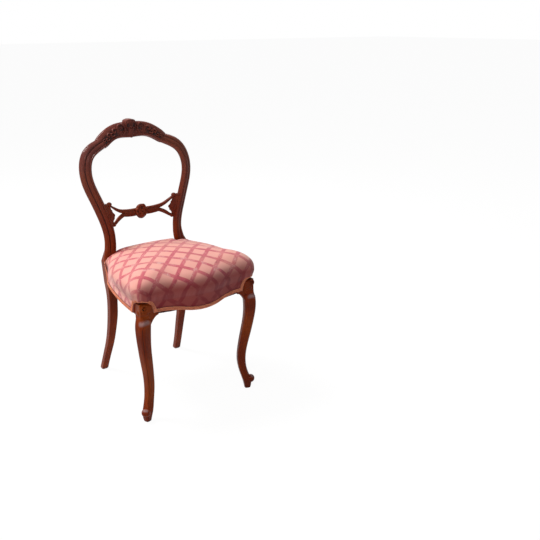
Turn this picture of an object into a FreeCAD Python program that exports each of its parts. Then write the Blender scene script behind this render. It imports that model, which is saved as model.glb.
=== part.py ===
import FreeCAD, Part
import math
import os

# Balloon back dining chair with a sprung, stuffed-over seat, in millimetres.
# Seen from the front, +X is on the right. The front is -Y, and the floor is z = 0.
# Right-hand pieces are modelled at +X and mirrored for the left.

Vector = FreeCAD.Vector

# Clearances
joint_gap = 0.1          # between a dowel, screw or tack and its hole, on the radius
cloth_gap = 0.2          # between a layer of cloth and the wood it is stretched over
hole_end_gap = 1.0       # left at the blind end of a dowel hole

# Seat frame
seat_front_y = -258.0        # foremost face of the serpentine front rail
front_rail_set_back = 27.0   # how far that front falls back to the legs
sweep_share = 0.42           # share of the half length that the middle bow takes up
seat_half_width_front = 201.0
seat_half_width_middle = 188.0
seat_half_width_back = 154.0
seat_middle_y = -60.0
seat_back_y = 134.0          # rearmost face of the back rail
back_rail_set_back = 10.0
rail_top = 392.0
rail_bottom = 357.0
rail_thickness = 22.0
apron_thickness = 9.0        # front slip of the front rail, which keeps the serpentine lower edge
apron_drop = 11.0            # how far that edge hangs below the rails' bottom at the centre
apron_rise = 3.0             # how far it rises above it towards the legs
bracket_drop = 17.0          # the apron's concave bracket against each leg
bracket_reach = 26.0

# Front legs
front_leg_x = 182.0
front_leg_y = -216.0
front_block = 37.0           # square block that the rails meet
front_neck_z = 346.0
front_neck = 33.0
knee_x = 190.0
knee_y = -223.0
knee_z = 300.0
knee_width = 38.0
calf_x = 180.0
calf_y = -211.0
calf_z = 200.0
calf_width = 30.5
ankle_x = 171.5
ankle_y = -199.5
ankle_z = 105.0
ankle_width = 24.5
foot_x = 187.0
foot_y = -209.0
foot_width = 17.0
toe_z = 33.0
toe_radius = 10.0
toe_length = 22.0
toe_reach = 9.0
front_leg_turn = 18.0        # degrees that the knee faces outwards
ear_radius = 9.0             # scroll at the top of the front leg
ear_length = 9.0

# Back legs
back_foot_x = 146.0
back_foot_y = 209.5
back_foot_width = 20.0
back_shin_x = 138.0
back_shin_y = 158.5
back_shin_z = 120.0
back_shin_width = 22.0
back_calf_x = 135.0
back_calf_y = 124.0
back_calf_z = 235.0
back_calf_width = 26.0
block_inner_x = 116.5        # inner face of the square block at the seat, which the back rail meets
block_front_y = 95.0         # front face of that block, which the side rail meets
block_width = 43.0
block_depth = 32.0
block_taper = 4.5            # how much narrower the block is at its foot
step_z = 428.0               # shoulder where the block ends and the moulded stile begins

# Hoop of the back
waist_x = 125.0
waist_y = 119.5
waist_z = 500.0
widest_x = 179.0
widest_y = 138.5
widest_z = 706.0
shoulder_x = 160.0
shoulder_y = 156.0
shoulder_z = 771.0
joint_x = 112.0
joint_y = 169.0
joint_z = 799.0
joint_slope = 38.0           # degrees that the joint's face is tipped from upright
stile_width = 39.0
stile_depth = 22.0
stile_turn = 25.0            # degrees that the stile's face looks outwards
shoulder_turn = 30.0
crest_y = 186.0
crest_z = 838.0
crest_width = 46.0
crest_depth = 25.0
crest_turn = 10.0

# Carving on the crest
chair_height = 870.0
shield_width = 40.0
shield_bottom_z = 811.0
shield_proud = 17.0          # how far the shield stands in front of the crest's middle
shield_thickness = 22.0
scroll_offset = 37.0         # middle of each scroll from the centre line
scroll_half_height = 20.0
scroll_rim = 3.6

# Middle rail
mid_rail_z = 571.0
mid_rail_height = 19.0
mid_rail_depth = 14.0
mid_rail_centre_y = 142.0
mid_rail_end_y = 117.0
mid_rail_lean = 5.0          # degrees that its top tips back
fork_x = 60.0
upper_arm_z = 611.0
lower_arm_z = 541.0
arm_width = 10.0
leaf_x = 97.0
boss_half_width = 19.0
boss_top_z = 594.5
boss_bottom_z = 542.0
boss_proud = 13.0

# Fastenings
rail_dowel_radius = 4.75
rail_dowel_length = 38.0
rail_dowel_spacing = 14.0
crest_dowel_radius = 4.0
crest_dowel_length = 40.0
crest_dowel_spacing = 17.0
mid_dowel_radius = 2.0
mid_dowel_length = 16.0
corner_reach = 62.0          # corner block, measured along each rail
corner_height = 26.0
corner_below_top = 6.0
screw_radius = 2.0
screw_head_radius = 4.0
screw_head_depth = 2.5
screw_length = 24.0
screw_seat = 8.0             # wood left in a corner block under a screw's head
tack_head_radius = 2.8
tack_head_depth = 0.4
tack_radius = 0.8
tack_length = 5.8
tacks_per_end = 3
tack_spacing = 16.0
pin_head_radius = 1.6
pin_head_depth = 0.8
pin_radius = 0.6
pin_length = 8.0
pin_spacing = 38.0

# Webbing, springs and the cloth underneath
strap_width = 50.0
strap_thickness = 1.2
strap_pitch = 60.0
straps_each_way = 4
strap_field_y = -68.0        # middle of the webbed field
strap_landing = 14.0         # length of strap tacked down on a rail
front_landing = 8.0          # the same on the front rail, behind the apron
spring_end_radius = 36.0
spring_waist_radius = 21.0
spring_wire = 3.6
spring_turns = 5
spring_drop = 51.0           # how far the middle of its top coil lies below the crown
twine_radius = 1.3
twine_end_inset = 15.2       # where a twine is fixed, from a rail's outer face
twine_end_length = 5.0       # length of twine that lies along a rail's top
hem_inset = 1.5
hem_width = 5.5
front_hem_width = 3.4
bottom_cloth_thickness = 0.8
leg_clearance = 1.0

# Stuffing and covers
bulge_side = 13.0            # how far the cover swells past the rails
bulge_front = 15.0
bulge_back = 13.0
bulge_z = 424.0
crown_z = 492.0
cover_thickness = 1.5
wadding_side = 6.0
wadding_top = 8.0
hair_side = 6.0
hair_top = 24.0
canvas_thickness = 1.5
cover_edge_gap = 4.0         # polished edge left bare below the cover
cut_out_gap = 0.3            # between the cover and the wood that it is cut round
gimp_width = 12.0
gimp_thickness = 2.4
gimp_top_z = 420.0           # where the gimp ends against the hoop

# The whole chair is moved so that its depth is centred on y = 0.
centring_y = -(seat_front_y - bulge_front + back_foot_y + back_foot_width / 2) / 2


def rod(start, direction, length, radius):
    """Round bar from a point, along a direction."""
    return Part.makeCylinder(radius, length, start, direction)


def box(low, high):
    size = high - low
    return Part.makeBox(size.x, size.y, size.z, low)


def mirrored(shape):
    """The left-hand piece that belongs to a right-hand one."""
    return shape.mirror(Vector(0, 0, 0), Vector(1, 0, 0))


def smooth_curve(points):
    curve = Part.BSplineCurve()
    curve.interpolate(points)
    return curve


def smooth_edge(points):
    return smooth_curve(points).toShape()


def polyline_wire(points):
    return Part.makePolygon(list(points) + [points[0]])


def prism(points, height):
    """Upright block on a level polygon."""
    return Part.Face(polyline_wire(points)).extrude(Vector(0, 0, height))


def section_wire(centre, across, back, width, depth, corners):
    """Four-sided outline with an elliptical rounding at each corner.

    The corners go outer front, outer back, inner back, inner front, each as its reach
    across the section and its reach from front to back.
    """
    sides = [(1, 0), (0, 1), (-1, 0), (0, -1)]
    signs = [(1, -1), (1, 1), (-1, 1), (-1, -1)]

    def place(point):
        return centre + across * point[0] + back * point[1]

    ends = []
    arcs = []
    for index, (sign_across, sign_back) in enumerate(signs):
        reach_across, reach_back = corners[index]
        corner = (sign_across * width / 2, sign_back * depth / 2)
        along_across = (corner[0] - sign_across * reach_across, corner[1])
        along_back = (corner[0], corner[1] - sign_back * reach_back)
        cut = 1 - math.sqrt(0.5)
        middle = (corner[0] - sign_across * reach_across * cut, corner[1] - sign_back * reach_back * cut)
        if sides[index][0] != 0:
            start, end = along_across, along_back
        else:
            start, end = along_back, along_across
        ends.append((place(start), place(end)))
        arcs.append(Part.Arc(place(start), place(middle), place(end)).toShape())
    edges = []
    for index in range(4):
        edges.append(arcs[index])
        edges.append(Part.LineSegment(ends[index][1], ends[(index + 1) % 4][0]).toShape())
    return Part.Wire(edges)


def level_section(x, y, z, width, depth, rounding, turn=0.0):
    """Rounded oblong lying level, turned about the vertical."""
    angle = math.radians(turn)
    across = Vector(math.cos(angle), math.sin(angle), 0)
    back = Vector(-math.sin(angle), math.cos(angle), 0)
    return section_wire(Vector(x, y, z), across, back, width, depth, [(rounding, rounding)] * 4)


def path_axes(tangent, turn):
    """Across and back directions square to a path, with the outer edge turned back."""
    along = Vector(tangent)
    along.normalize()
    back = Vector(0, 1, 0) - along * along.y
    back.normalize()
    across = back.cross(along)
    cosine = math.cos(math.radians(turn))
    sine = math.sin(math.radians(turn))
    return across * cosine + back * sine, back * cosine - across * sine


def path_section(centre, tangent, width, depth, corners, turn):
    """Section square to a path up the right side of the back."""
    across, back = path_axes(tangent, turn)
    return section_wire(centre, across, back, width, depth, corners)


# Front legs


def front_leg_shaft():
    """Foot, ankle, calf and knee, up to the neck below the block."""
    heel_z = 1.7 * toe_z
    shin_x = (ankle_x + calf_x) / 2 - 2.0
    shin_y = (ankle_y + calf_y) / 2 + 1.5
    thigh_x = (calf_x + knee_x) / 2 + 1.5
    thigh_y = (calf_y + knee_y) / 2 - 1.5
    stations = [
        (foot_x, foot_y, 0.0, foot_width),
        (foot_x, foot_y, 0.4 * toe_z, foot_width + 5.0),
        (foot_x - 2.0, foot_y, toe_z, foot_width + 8.5),
        ((foot_x + ankle_x) / 2, (foot_y + ankle_y) / 2, heel_z, ankle_width - 0.5),
        (ankle_x, ankle_y, ankle_z, ankle_width),
        (shin_x, shin_y, (ankle_z + calf_z) / 2, ankle_width + 2.0),
        (calf_x, calf_y, calf_z, calf_width),
        (thigh_x, thigh_y, (calf_z + knee_z) / 2, (calf_width + knee_width) / 2),
        (knee_x, knee_y, knee_z, knee_width),
        (knee_x - 1.5, knee_y + 1.0, front_neck_z - 15.0, knee_width),
        (front_leg_x + 3.0, front_leg_y - 3.0, front_neck_z, front_neck),
    ]
    wires = []
    for x, y, z, width in stations:
        wires.append(level_section(x, y, z, width, width, 0.3 * width, -front_leg_turn))
    return Part.makeLoft(wires, True)


def front_leg_block():
    """Square block that takes the rails, blended into the turned neck."""
    blend_z = rail_bottom
    stations = [
        (3.0, front_neck_z, front_neck, 0.3 * front_neck, -front_leg_turn),
        (1.0, (front_neck_z + blend_z) / 2, front_neck, 5.0, -front_leg_turn / 3),
        (0.0, blend_z, front_block, 3.0, 0.0),
    ]
    wires = []
    for shift, z, width, rounding, turn in stations:
        place = (front_leg_x + shift, front_leg_y - shift, z)
        wires.append(level_section(*place, width, width, rounding, turn))
    square = Part.Face(wires[-1]).extrude(Vector(0, 0, rail_top - blend_z))
    return Part.makeLoft(wires, True).fuse(square)


def front_leg():
    """Cabriole leg with its square block, eared scroll, knee, ankle and scrolled toe."""
    leg = front_leg_shaft().fuse(front_leg_block())
    outward = Vector(math.sqrt(0.5), -math.sqrt(0.5), 0)
    sideways = Vector(math.sqrt(0.5), math.sqrt(0.5), 0)
    toe_centre = Vector(foot_x, foot_y, toe_z) + outward * toe_reach
    leg = leg.fuse(rod(toe_centre - sideways * (toe_length / 2), sideways, toe_length, toe_radius))
    ear_x = front_leg_x + 0.2 * front_block
    ear_y = front_leg_y - front_block / 2 + 3.0
    ear_centre = Vector(ear_x, ear_y, rail_top - ear_radius)
    leg = leg.fuse(rod(ear_centre, Vector(0, -1, 0), ear_length, ear_radius))
    return leg


# Back legs, which run up into the hoop


stile_corners = [(19.0, 10.5), (8.0, 6.0), (13.0, 9.5), (3.0, 3.0)]
block_corners = [(5.0, 5.0), (3.0, 3.0), (3.0, 3.0), (3.0, 3.0)]
flare_corners = [(13.0, 8.0), (5.0, 4.0), (8.0, 6.0), (3.0, 3.0)]


def block_middle_x():
    return block_inner_x + block_width / 2


def block_middle_y():
    return block_front_y + block_depth / 2


def stile_points():
    """Middle line of the right stile, from the step to the crest joint."""
    foot_x = block_middle_x()
    foot_y = block_middle_y()
    rise = widest_z - waist_z
    spread = widest_x - waist_x
    return [
        Vector(foot_x, foot_y, step_z),
        Vector((2 * waist_x + foot_x) / 3, (waist_y + foot_y) / 2, step_z + 0.42 * (waist_z - step_z)),
        Vector(waist_x, waist_y, waist_z),
        Vector(waist_x + 0.26 * spread, waist_y + 3.0, waist_z + 0.37 * rise),
        Vector(waist_x + 0.63 * spread, waist_y + 8.0, waist_z + 0.65 * rise),
        Vector(widest_x, widest_y, widest_z),
        Vector(shoulder_x, shoulder_y, shoulder_z),
        Vector(joint_x, joint_y, joint_z),
    ]


def joint_normal():
    """Direction square to the crest joint, pointing up into the crest."""
    angle = math.radians(joint_slope)
    lean = 0.35
    normal = Vector(-math.cos(angle), lean, math.sin(angle))
    normal.normalize()
    return normal


def joint_section():
    centre = Vector(joint_x, joint_y, joint_z)
    return path_section(centre, joint_normal(), stile_width, stile_depth, stile_corners, shoulder_turn)


def stile():
    points = stile_points()
    curve = smooth_curve(points)
    widths = [block_width, stile_width - 1.0, stile_width - 2.0] + [stile_width] * 3 + [stile_width + 2.0]
    turns = [0.0, 0.8 * stile_turn] + [stile_turn] * 4 + [(stile_turn + shoulder_turn) / 2]
    wires = []
    for index in range(len(widths)):
        tangent = curve.tangent(curve.parameter(points[index]))[0]
        depth = stile_depth
        corners = stile_corners
        if index == 0:
            tangent = Vector(0, 0, 1)
            depth = block_depth - 2.0
            corners = block_corners
        if index == 1:
            depth = stile_depth + 2.0
            corners = flare_corners
        wires.append(path_section(points[index], tangent, widths[index], depth, corners, turns[index]))
    wires.append(joint_section())
    return Part.makeLoft(wires, True)


def back_leg_shaft():
    """Sabre leg up to the foot of the square block."""
    foot = block_width - block_taper
    heel = back_foot_width + 0.5
    shin = back_shin_width + 2.0
    top_x = block_inner_x + foot / 2
    top_y = block_middle_y()
    stations = [
        (back_foot_x, back_foot_y, 0.0, back_foot_width, back_foot_width),
        (back_shin_x + 4.0, back_shin_y + 25.0, 0.5 * back_shin_z, heel, heel),
        (back_shin_x, back_shin_y, back_shin_z, back_shin_width, back_shin_width),
        (back_shin_x - 2.0, back_shin_y - 20.5, 1.5 * back_shin_z, shin, shin),
        (back_calf_x, back_calf_y, back_calf_z, back_calf_width, back_calf_width),
        (top_x, top_y + 2.0, rail_bottom - 42.0, back_calf_width + 5.0, back_calf_width + 2.0),
        (top_x, top_y, rail_bottom - 6.0, foot, block_depth),
    ]
    wires = [level_section(x, y, z, width, depth, 3.0) for x, y, z, width, depth in stations]
    return Part.makeLoft(wires, True)


def back_leg_block():
    """Tapered block whose inner and front faces are flat for the rails."""
    wires = []
    for z, width in ((rail_bottom - 6.0, block_width - block_taper), (step_z, block_width)):
        wires.append(level_section(block_inner_x + width / 2, block_middle_y(), z, width, block_depth, 3.0))
    return Part.makeLoft(wires, True, True)


def back_leg():
    """Sabre leg, square block and moulded stile in one piece of wood."""
    return back_leg_shaft().fuse(back_leg_block()).fuse(stile())


# Crest rail


def crest_rail():
    """Carved top rail between the two crest joints, with its shield and two scrolls."""
    quarter = Vector(joint_x * 0.52, (joint_y + 2 * crest_y) / 3, joint_z + 0.78 * (crest_z - joint_z))
    top = Vector(0, crest_y, crest_z)
    quarter_tangent = Vector(-joint_x, (crest_y - joint_y), 0.62 * (crest_z - joint_z))
    quarter_width = (stile_width + crest_width) / 2
    quarter_turn = (shoulder_turn + crest_turn) / 2
    wires = [
        joint_section(),
        path_section(quarter, quarter_tangent, quarter_width, crest_depth, stile_corners, quarter_turn),
        path_section(top, Vector(-1, 0, 0), crest_width, crest_depth, stile_corners, crest_turn),
    ]
    half = Part.makeLoft(wires, True)
    rail = half.fuse(mirrored(half))
    rail = rail.fuse(crest_shield())
    for side in (1, -1):
        rail = rail.fuse(crest_scroll(side))
    return rail


def crest_shield():
    """Upright shield with a crowned top and a pointed foot."""
    half = shield_width / 2
    front = crest_y - shield_proud
    top = chair_height
    bottom = shield_bottom_z
    shoulder = top - 9.0
    waist = bottom + 12.0
    cheek = 0.45 * half

    def place(x, z):
        return Vector(x, front, z)

    edges = [
        Part.LineSegment(place(-half, waist), place(-half, shoulder)).toShape(),
        Part.Arc(place(-half, shoulder), place(0, top), place(half, shoulder)).toShape(),
        Part.LineSegment(place(half, shoulder), place(half, waist)).toShape(),
        Part.Arc(place(half, waist), place(cheek, bottom + 3.0), place(0, bottom)).toShape(),
        Part.Arc(place(0, bottom), place(-cheek, bottom + 3.0), place(-half, waist)).toShape(),
    ]
    return Part.Face(Part.Wire(edges)).extrude(Vector(0, shield_thickness, 0))


def crest_scroll(side):
    """Rolled scroll beside the shield, as a raised ring."""
    centre = Vector(side * scroll_offset, crest_y - 0.5 * crest_depth, crest_z)
    return Part.makeTorus(scroll_half_height - scroll_rim, scroll_rim, centre, Vector(0, -1, 0.18))


# Seat rails


def leg_inner_x():
    return front_leg_x - front_block / 2


def leg_back_y():
    return front_leg_y + front_block / 2


def sweep_radii(half, fall):
    """Turning angle and two radii of a bow that swings back level at each end."""
    angle = 2 * math.atan2(fall, half)
    total = half / math.sin(angle)
    return angle, sweep_share * total, (1 - sweep_share) * total


def sweep_fall(x, half, fall):
    """How far the sweep has fallen at x, from nothing in the middle."""
    angle, near, far = sweep_radii(half, fall)
    x = min(abs(x), half)
    if x <= near * math.sin(angle):
        return near - math.sqrt(near * near - x * x)
    return fall - far + math.sqrt(far * far - (half - x) ** 2)


def sweep_edges(half, fall, reach, place):
    """Three arcs of the sweep between -reach and reach, each point put where place says."""
    angle, near, _ = sweep_radii(half, fall)
    bend = near * math.sin(angle)
    xs = [-reach, -(reach + bend) / 2, -bend, 0.0, bend, (reach + bend) / 2, reach]
    points = [place(x, sweep_fall(x, half, fall)) for x in xs]
    return [Part.Arc(points[k], points[k + 1], points[k + 2]).toShape() for k in (0, 2, 4)]


def front_edges(y_shift, reach, z, scale=1.0, middle_y=0.0):
    """The serpentine front, moved and then scaled about the middle of the seat."""

    def place(x, fall):
        y = seat_front_y + fall + y_shift
        return Vector(x * scale, middle_y + (y - middle_y) * scale, z)

    return sweep_edges(leg_inner_x(), front_rail_set_back, reach, place)


def front_y(x):
    return seat_front_y + sweep_fall(x, leg_inner_x(), front_rail_set_back)


def apron_z(x):
    """Lower edge of the apron, without the brackets."""
    half = leg_inner_x() - bracket_reach
    return rail_bottom - apron_drop + sweep_fall(x, half, apron_drop + apron_rise)


def spaced(low, high, count):
    return [low + (high - low) * index / (count - 1) for index in range(count)]


def front_plan(near, far):
    """Level face between two lines parallel to the serpentine front."""
    half = leg_inner_x()
    z = rail_bottom
    front = front_edges(near, half, z)
    back = front_edges(far, half, z)
    right = [Vector(half, front_y(half) + shift, z) for shift in (near, far)]
    left = [Vector(-point.x, point.y, z) for point in right]
    sides = [Part.LineSegment(*right).toShape(), Part.LineSegment(*left).toShape()]
    return Part.Face(Part.Wire(Part.__sortEdges__(front + back + sides)))


def apron_side_view(edge_height, top, bracket):
    """Upright slab, as seen from the front, above the apron's edge and a quarter round by each leg."""
    half = leg_inner_x()
    knee = half - bracket_reach
    y = seat_front_y - 40.0

    def place(x, fall):
        return Vector(x, y, rail_bottom - apron_drop + fall + edge_height)

    end = place(knee, apron_drop + apron_rise)
    foot = Vector(half, y, end.z - bracket)
    bend = Vector(knee + 0.7 * bracket_reach, y, end.z - 0.3 * bracket)
    edges = sweep_edges(knee, apron_drop + apron_rise, knee, place)
    edges += [
        Part.Arc(end, bend, foot).toShape(),
        Part.LineSegment(foot, Vector(half, y, top)).toShape(),
        Part.LineSegment(Vector(half, y, top), Vector(-half, y, top)).toShape(),
        Part.LineSegment(Vector(-half, y, top), Vector(-half, y, foot.z)).toShape(),
        Part.Arc(Vector(-half, y, foot.z), Vector(-bend.x, y, bend.z), Vector(-knee, y, end.z)).toShape(),
    ]
    return Part.Face(Part.Wire(edges)).extrude(Vector(0, 100.0, 0))


def front_rail():
    """Serpentine rail, with an apron in front and a straight-bottomed beam behind it."""
    tall = front_plan(0.0, apron_thickness)
    tall.translate(Vector(0, 0, -60.0))
    apron = tall.extrude(Vector(0, 0, rail_top - rail_bottom + 60.0))
    apron = apron.common(apron_side_view(0.0, rail_top, bracket_drop))
    beam = front_plan(apron_thickness, rail_thickness).extrude(Vector(0, 0, rail_top - rail_bottom))
    return apron.fuse(beam)


def side_arc(inward, z):
    """Bowed line of a side rail, from the front leg to the back leg."""
    start = Vector(seat_half_width_front - inward, leg_back_y(), z)
    middle = Vector(seat_half_width_middle - inward, seat_middle_y, z)
    end = Vector(seat_half_width_back - inward, block_front_y, z)
    return start, middle, end


def side_circle(inward):
    start, middle, end = side_arc(inward, 0.0)
    return Part.Arc(start, middle, end).toShape().Curve


def side_x(y, inward):
    """x at y on the side rail's bow."""
    circle = side_circle(inward)
    return circle.Center.x + math.sqrt(circle.Radius ** 2 - (y - circle.Center.y) ** 2)


def side_rail():
    start, middle, end = side_arc(0.0, rail_bottom)
    inner_start, inner_middle, inner_end = side_arc(rail_thickness, rail_bottom)
    edges = [
        Part.Arc(start, middle, end).toShape(),
        Part.LineSegment(end, inner_end).toShape(),
        Part.Arc(inner_end, inner_middle, inner_start).toShape(),
        Part.LineSegment(inner_start, start).toShape(),
    ]
    return Part.Face(Part.Wire(edges)).extrude(Vector(0, 0, rail_top - rail_bottom))


def back_arc(inward, z):
    end_y = seat_back_y - back_rail_set_back - inward
    middle = Vector(0, seat_back_y - inward, z)
    return Vector(block_inner_x, end_y, z), middle, Vector(-block_inner_x, end_y, z)


def back_circle(inward):
    start, middle, end = back_arc(inward, 0.0)
    return Part.Arc(start, middle, end).toShape().Curve


def back_y(x, inward):
    """y at x on the back rail's bow."""
    circle = back_circle(inward)
    return circle.Center.y + math.sqrt(circle.Radius ** 2 - (x - circle.Center.x) ** 2)


def back_rail():
    start, middle, end = back_arc(0.0, rail_bottom)
    inner_start, inner_middle, inner_end = back_arc(rail_thickness, rail_bottom)
    edges = [
        Part.Arc(start, middle, end).toShape(),
        Part.LineSegment(end, inner_end).toShape(),
        Part.Arc(inner_end, inner_middle, inner_start).toShape(),
        Part.LineSegment(inner_start, start).toShape(),
    ]
    return Part.Face(Part.Wire(edges)).extrude(Vector(0, 0, rail_top - rail_bottom))


# Middle rail


def stile_x(z):
    """x of the stile's middle line at a height between the waist and the widest point."""
    curve = smooth_curve(stile_points())
    low = curve.parameter(Vector(waist_x, waist_y, waist_z))
    high = curve.parameter(Vector(widest_x, widest_y, widest_z))
    for _ in range(30):
        middle = (low + high) / 2
        if curve.value(middle).z < z:
            low = middle
        else:
            high = middle
    return curve.value(low).x


def mid_rail_radius():
    """Radius of the middle rail's curve in plan."""
    fall = mid_rail_centre_y - mid_rail_end_y
    reach = waist_x
    return (reach * reach + fall * fall) / (2 * fall)


def mid_rail_y(x):
    radius = mid_rail_radius()
    return mid_rail_centre_y - radius + math.sqrt(radius * radius - x * x)


def mid_rail_slab():
    """Curved board that the middle rail is sawn from."""
    radius = mid_rail_radius()
    base = Vector(0, mid_rail_centre_y - radius, lower_arm_z - 40.0)
    height = upper_arm_z - lower_arm_z + 80.0
    up = Vector(0, 0, 1)
    outer = Part.makeCylinder(radius + mid_rail_depth / 2, height, base, up)
    inner = Part.makeCylinder(radius - mid_rail_depth / 2, height, base, up)
    slab = outer.cut(inner)
    slab.rotate(Vector(0, mid_rail_centre_y, mid_rail_z), Vector(1, 0, 0), -mid_rail_lean)
    return slab


def mid_rail_outline():
    """Right half as seen from the front: a stretch that forks into two arms that run into the stile."""
    top = mid_rail_z + mid_rail_height / 2
    bottom = mid_rail_z - mid_rail_height / 2
    upper = upper_arm_z + arm_width / 2
    lower = lower_arm_z - arm_width / 2
    upper_end = stile_x(upper) - stile_width / 3
    lower_end = stile_x(lower) - stile_width / 3
    upper_points = [
        Vector(0, 0, top),
        Vector(0.6 * fork_x, 0, top),
        Vector(fork_x + 8.0, 0, top + 4.0),
        Vector(fork_x + 35.0, 0, upper - 15.0),
        Vector(upper_end - 18.0, 0, upper),
    ]
    lower_points = [
        Vector(lower_end - 8.0, 0, lower),
        Vector(fork_x + 25.0, 0, lower + 12.0),
        Vector(fork_x, 0, bottom - 0.5),
        Vector(0.5 * fork_x, 0, bottom + 0.5),
        Vector(0, 0, bottom),
    ]
    edges = [
        smooth_edge(upper_points),
        Part.LineSegment(upper_points[-1], Vector(upper_end, 0, upper)).toShape(),
        Part.LineSegment(Vector(upper_end, 0, upper), Vector(lower_end, 0, lower)).toShape(),
        Part.LineSegment(Vector(lower_end, 0, lower), lower_points[0]).toShape(),
        smooth_edge(lower_points),
        Part.LineSegment(lower_points[-1], upper_points[0]).toShape(),
    ]
    return Part.Face(Part.Wire(edges))


def mid_rail_fret():
    """Opening between the arms, closed at the stile by the leaf's two lobes."""
    fork = Vector(fork_x + 3.0, 0, mid_rail_z)
    upper = Vector(waist_x - 14.0, 0, upper_arm_z - 11.0)
    lower = Vector(waist_x - 23.0, 0, lower_arm_z + 9.0)
    tip = Vector(leaf_x, 0, mid_rail_z - 1.0)
    edges = [
        Part.Arc(fork, Vector((fork.x + upper.x) / 2, 0, (fork.z + upper.z) / 2 - 4.0), upper).toShape(),
        Part.Arc(upper, Vector((upper.x + tip.x) / 2 - 1.5, 0, (upper.z + tip.z) / 2 + 2.0), tip).toShape(),
        Part.Arc(tip, Vector((tip.x + lower.x) / 2 - 1.5, 0, (tip.z + lower.z) / 2 - 2.0), lower).toShape(),
        Part.Arc(lower, Vector((fork.x + lower.x) / 2, 0, (fork.z + lower.z) / 2 + 4.0), fork).toShape(),
    ]
    return Part.Face(Part.Wire(edges))


def mid_rail(right_back_leg):
    """Curved fret rail with a carved boss, fitted between the stiles."""
    reach = Vector(0, mid_rail_centre_y + 60.0, 0)
    half = mid_rail_outline().extrude(reach).cut(mid_rail_fret().extrude(reach))
    half = half.common(mid_rail_slab()).cut(right_back_leg)
    half = min(half.Solids, key=lambda solid: solid.BoundBox.XMin)
    rail = half.fuse(mirrored(half))
    middle_z = (boss_top_z + boss_bottom_z) / 2
    half_height = (boss_top_z - boss_bottom_z) / 2
    front = Vector(0, mid_rail_centre_y - boss_proud + 4.0, middle_z)
    rim = Part.Ellipse(front + Vector(0, 0, half_height), front + Vector(boss_half_width, 0, 0), front)
    boss = Part.Face(Part.Wire([rim.toShape()])).extrude(Vector(0, boss_proud, 0))
    bead = Part.makeSphere(6.0, Vector(0, front.y + 2.5, mid_rail_z + 4.0))
    return rail.fuse(boss).fuse(bead)


# Upholstery


def seat_outline(offset, scale, z):
    """Closed line round the seat frame, moved outward by three offsets and then scaled."""
    side, front, back = offset
    middle_y = seat_middle_y
    half = leg_inner_x()

    def place(x, y):
        return Vector(x * scale, middle_y + (y - middle_y) * scale, z)

    def left(point):
        return Vector(-point.x, point.y, point.z)

    front_end_y = front_y(half) - front
    side_start_y = leg_back_y() - 6.0
    side_start_x = side_x(side_start_y, -side)
    round_share = 0.29
    corner = place(
        side_start_x - round_share * (side_start_x - half),
        front_end_y + round_share * (side_start_y - front_end_y),
    )
    side_end_y = block_front_y + 6.0
    side_end_x = side_x(side_end_y, -side)
    back_x = block_inner_x - 2.0
    back_end_y = back_y(back_x, -back)
    side_start = place(side_start_x, side_start_y)
    side_middle = place(seat_half_width_middle + side, seat_middle_y)
    side_end = place(side_end_x, side_end_y)
    back_corner = place(back_x + 0.75 * (side_end_x - back_x), side_end_y + 0.7 * (back_end_y - side_end_y))
    back_end = place(back_x, back_end_y)
    back_middle = place(0, seat_back_y + back)
    front_end = place(half, front_end_y)
    edges = front_edges(-front, half, z, scale, middle_y)
    edges += [
        Part.Arc(front_end, corner, side_start).toShape(),
        Part.Arc(side_start, side_middle, side_end).toShape(),
        Part.Arc(side_end, back_corner, back_end).toShape(),
        Part.Arc(back_end, back_middle, left(back_end)).toShape(),
        Part.Arc(left(back_end), left(back_corner), left(side_end)).toShape(),
        Part.Arc(left(side_end), left(side_middle), left(side_start)).toShape(),
        Part.Arc(left(side_start), left(corner), left(front_end)).toShape(),
    ]
    return Part.Wire(edges)


def stuffed_shape(level, drop, base):
    """Solid under one layer of the seat: upright walls, swelling and crown.

    level is how far the layer's sides lie inside the cover, and drop how far its top does.
    """
    wall = cloth_gap + cover_thickness - level
    side = bulge_side - level
    front = bulge_front - level
    back = bulge_back - level
    middle = bulge_z - 0.3 * drop
    rise = crown_z - drop - middle
    swell_z = 0.55 * middle + 0.45 * rail_top
    wires = [
        seat_outline((wall, wall, wall), 1.0, base),
        seat_outline((wall, wall, wall), 1.0, rail_top + 2.0),
        seat_outline((side - 2.5, front - 3.0, back - 2.5), 1.0, swell_z),
        seat_outline((side, front, back), 1.0, middle),
    ]
    for scale in (0.985, 0.955, 0.9, 0.82, 0.7, 0.55, 0.38, 0.2, 0.06):
        height = (1 - scale * scale) ** 0.4545
        wires.append(seat_outline((side, front, back), scale, middle + rise * height))
    return Part.makeLoft(wires, True, True)


def open_zone(edge, leg, stile):
    """Space that a layer keeps clear of: under the rails, round the front legs and round the hoop."""
    far = 400.0
    low = rail_bottom - 100.0
    half = leg_inner_x()
    slab = box(Vector(-half, seat_front_y - 40.0, low), Vector(half, seat_front_y + 60.0, rail_top))
    zone = slab.cut(apron_side_view(edge, rail_top + 200.0, 0.1))
    zone = zone.fuse(box(Vector(-far, leg_back_y() - 40.0, low), Vector(far, far, rail_bottom + edge)))
    hoop_inner_x = waist_x - stile_width / 2
    corner = box(Vector(half - leg, -far, low), Vector(far, leg_back_y() + leg, rail_top + leg))
    notch_y = block_front_y - stile
    notch_end = Vector(far, far, crown_z)
    notch = box(Vector(block_inner_x - stile, notch_y, low), notch_end)
    hoop_notch = box(Vector(hoop_inner_x - stile, notch_y, gimp_top_z), notch_end)
    for piece in (corner, notch, hoop_notch):
        zone = zone.fuse(piece).fuse(mirrored(piece))
    return zone


def seat_layer(outer, inner, base):
    """Layer of the seat between two stuffed shapes, each given as (level, drop)."""
    shell = stuffed_shape(outer[0], outer[1], base).cut(stuffed_shape(inner[0], inner[1], base - 1.0))
    return shell.cut(open_zone(cover_edge_gap, cut_out_gap, cut_out_gap))


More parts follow.
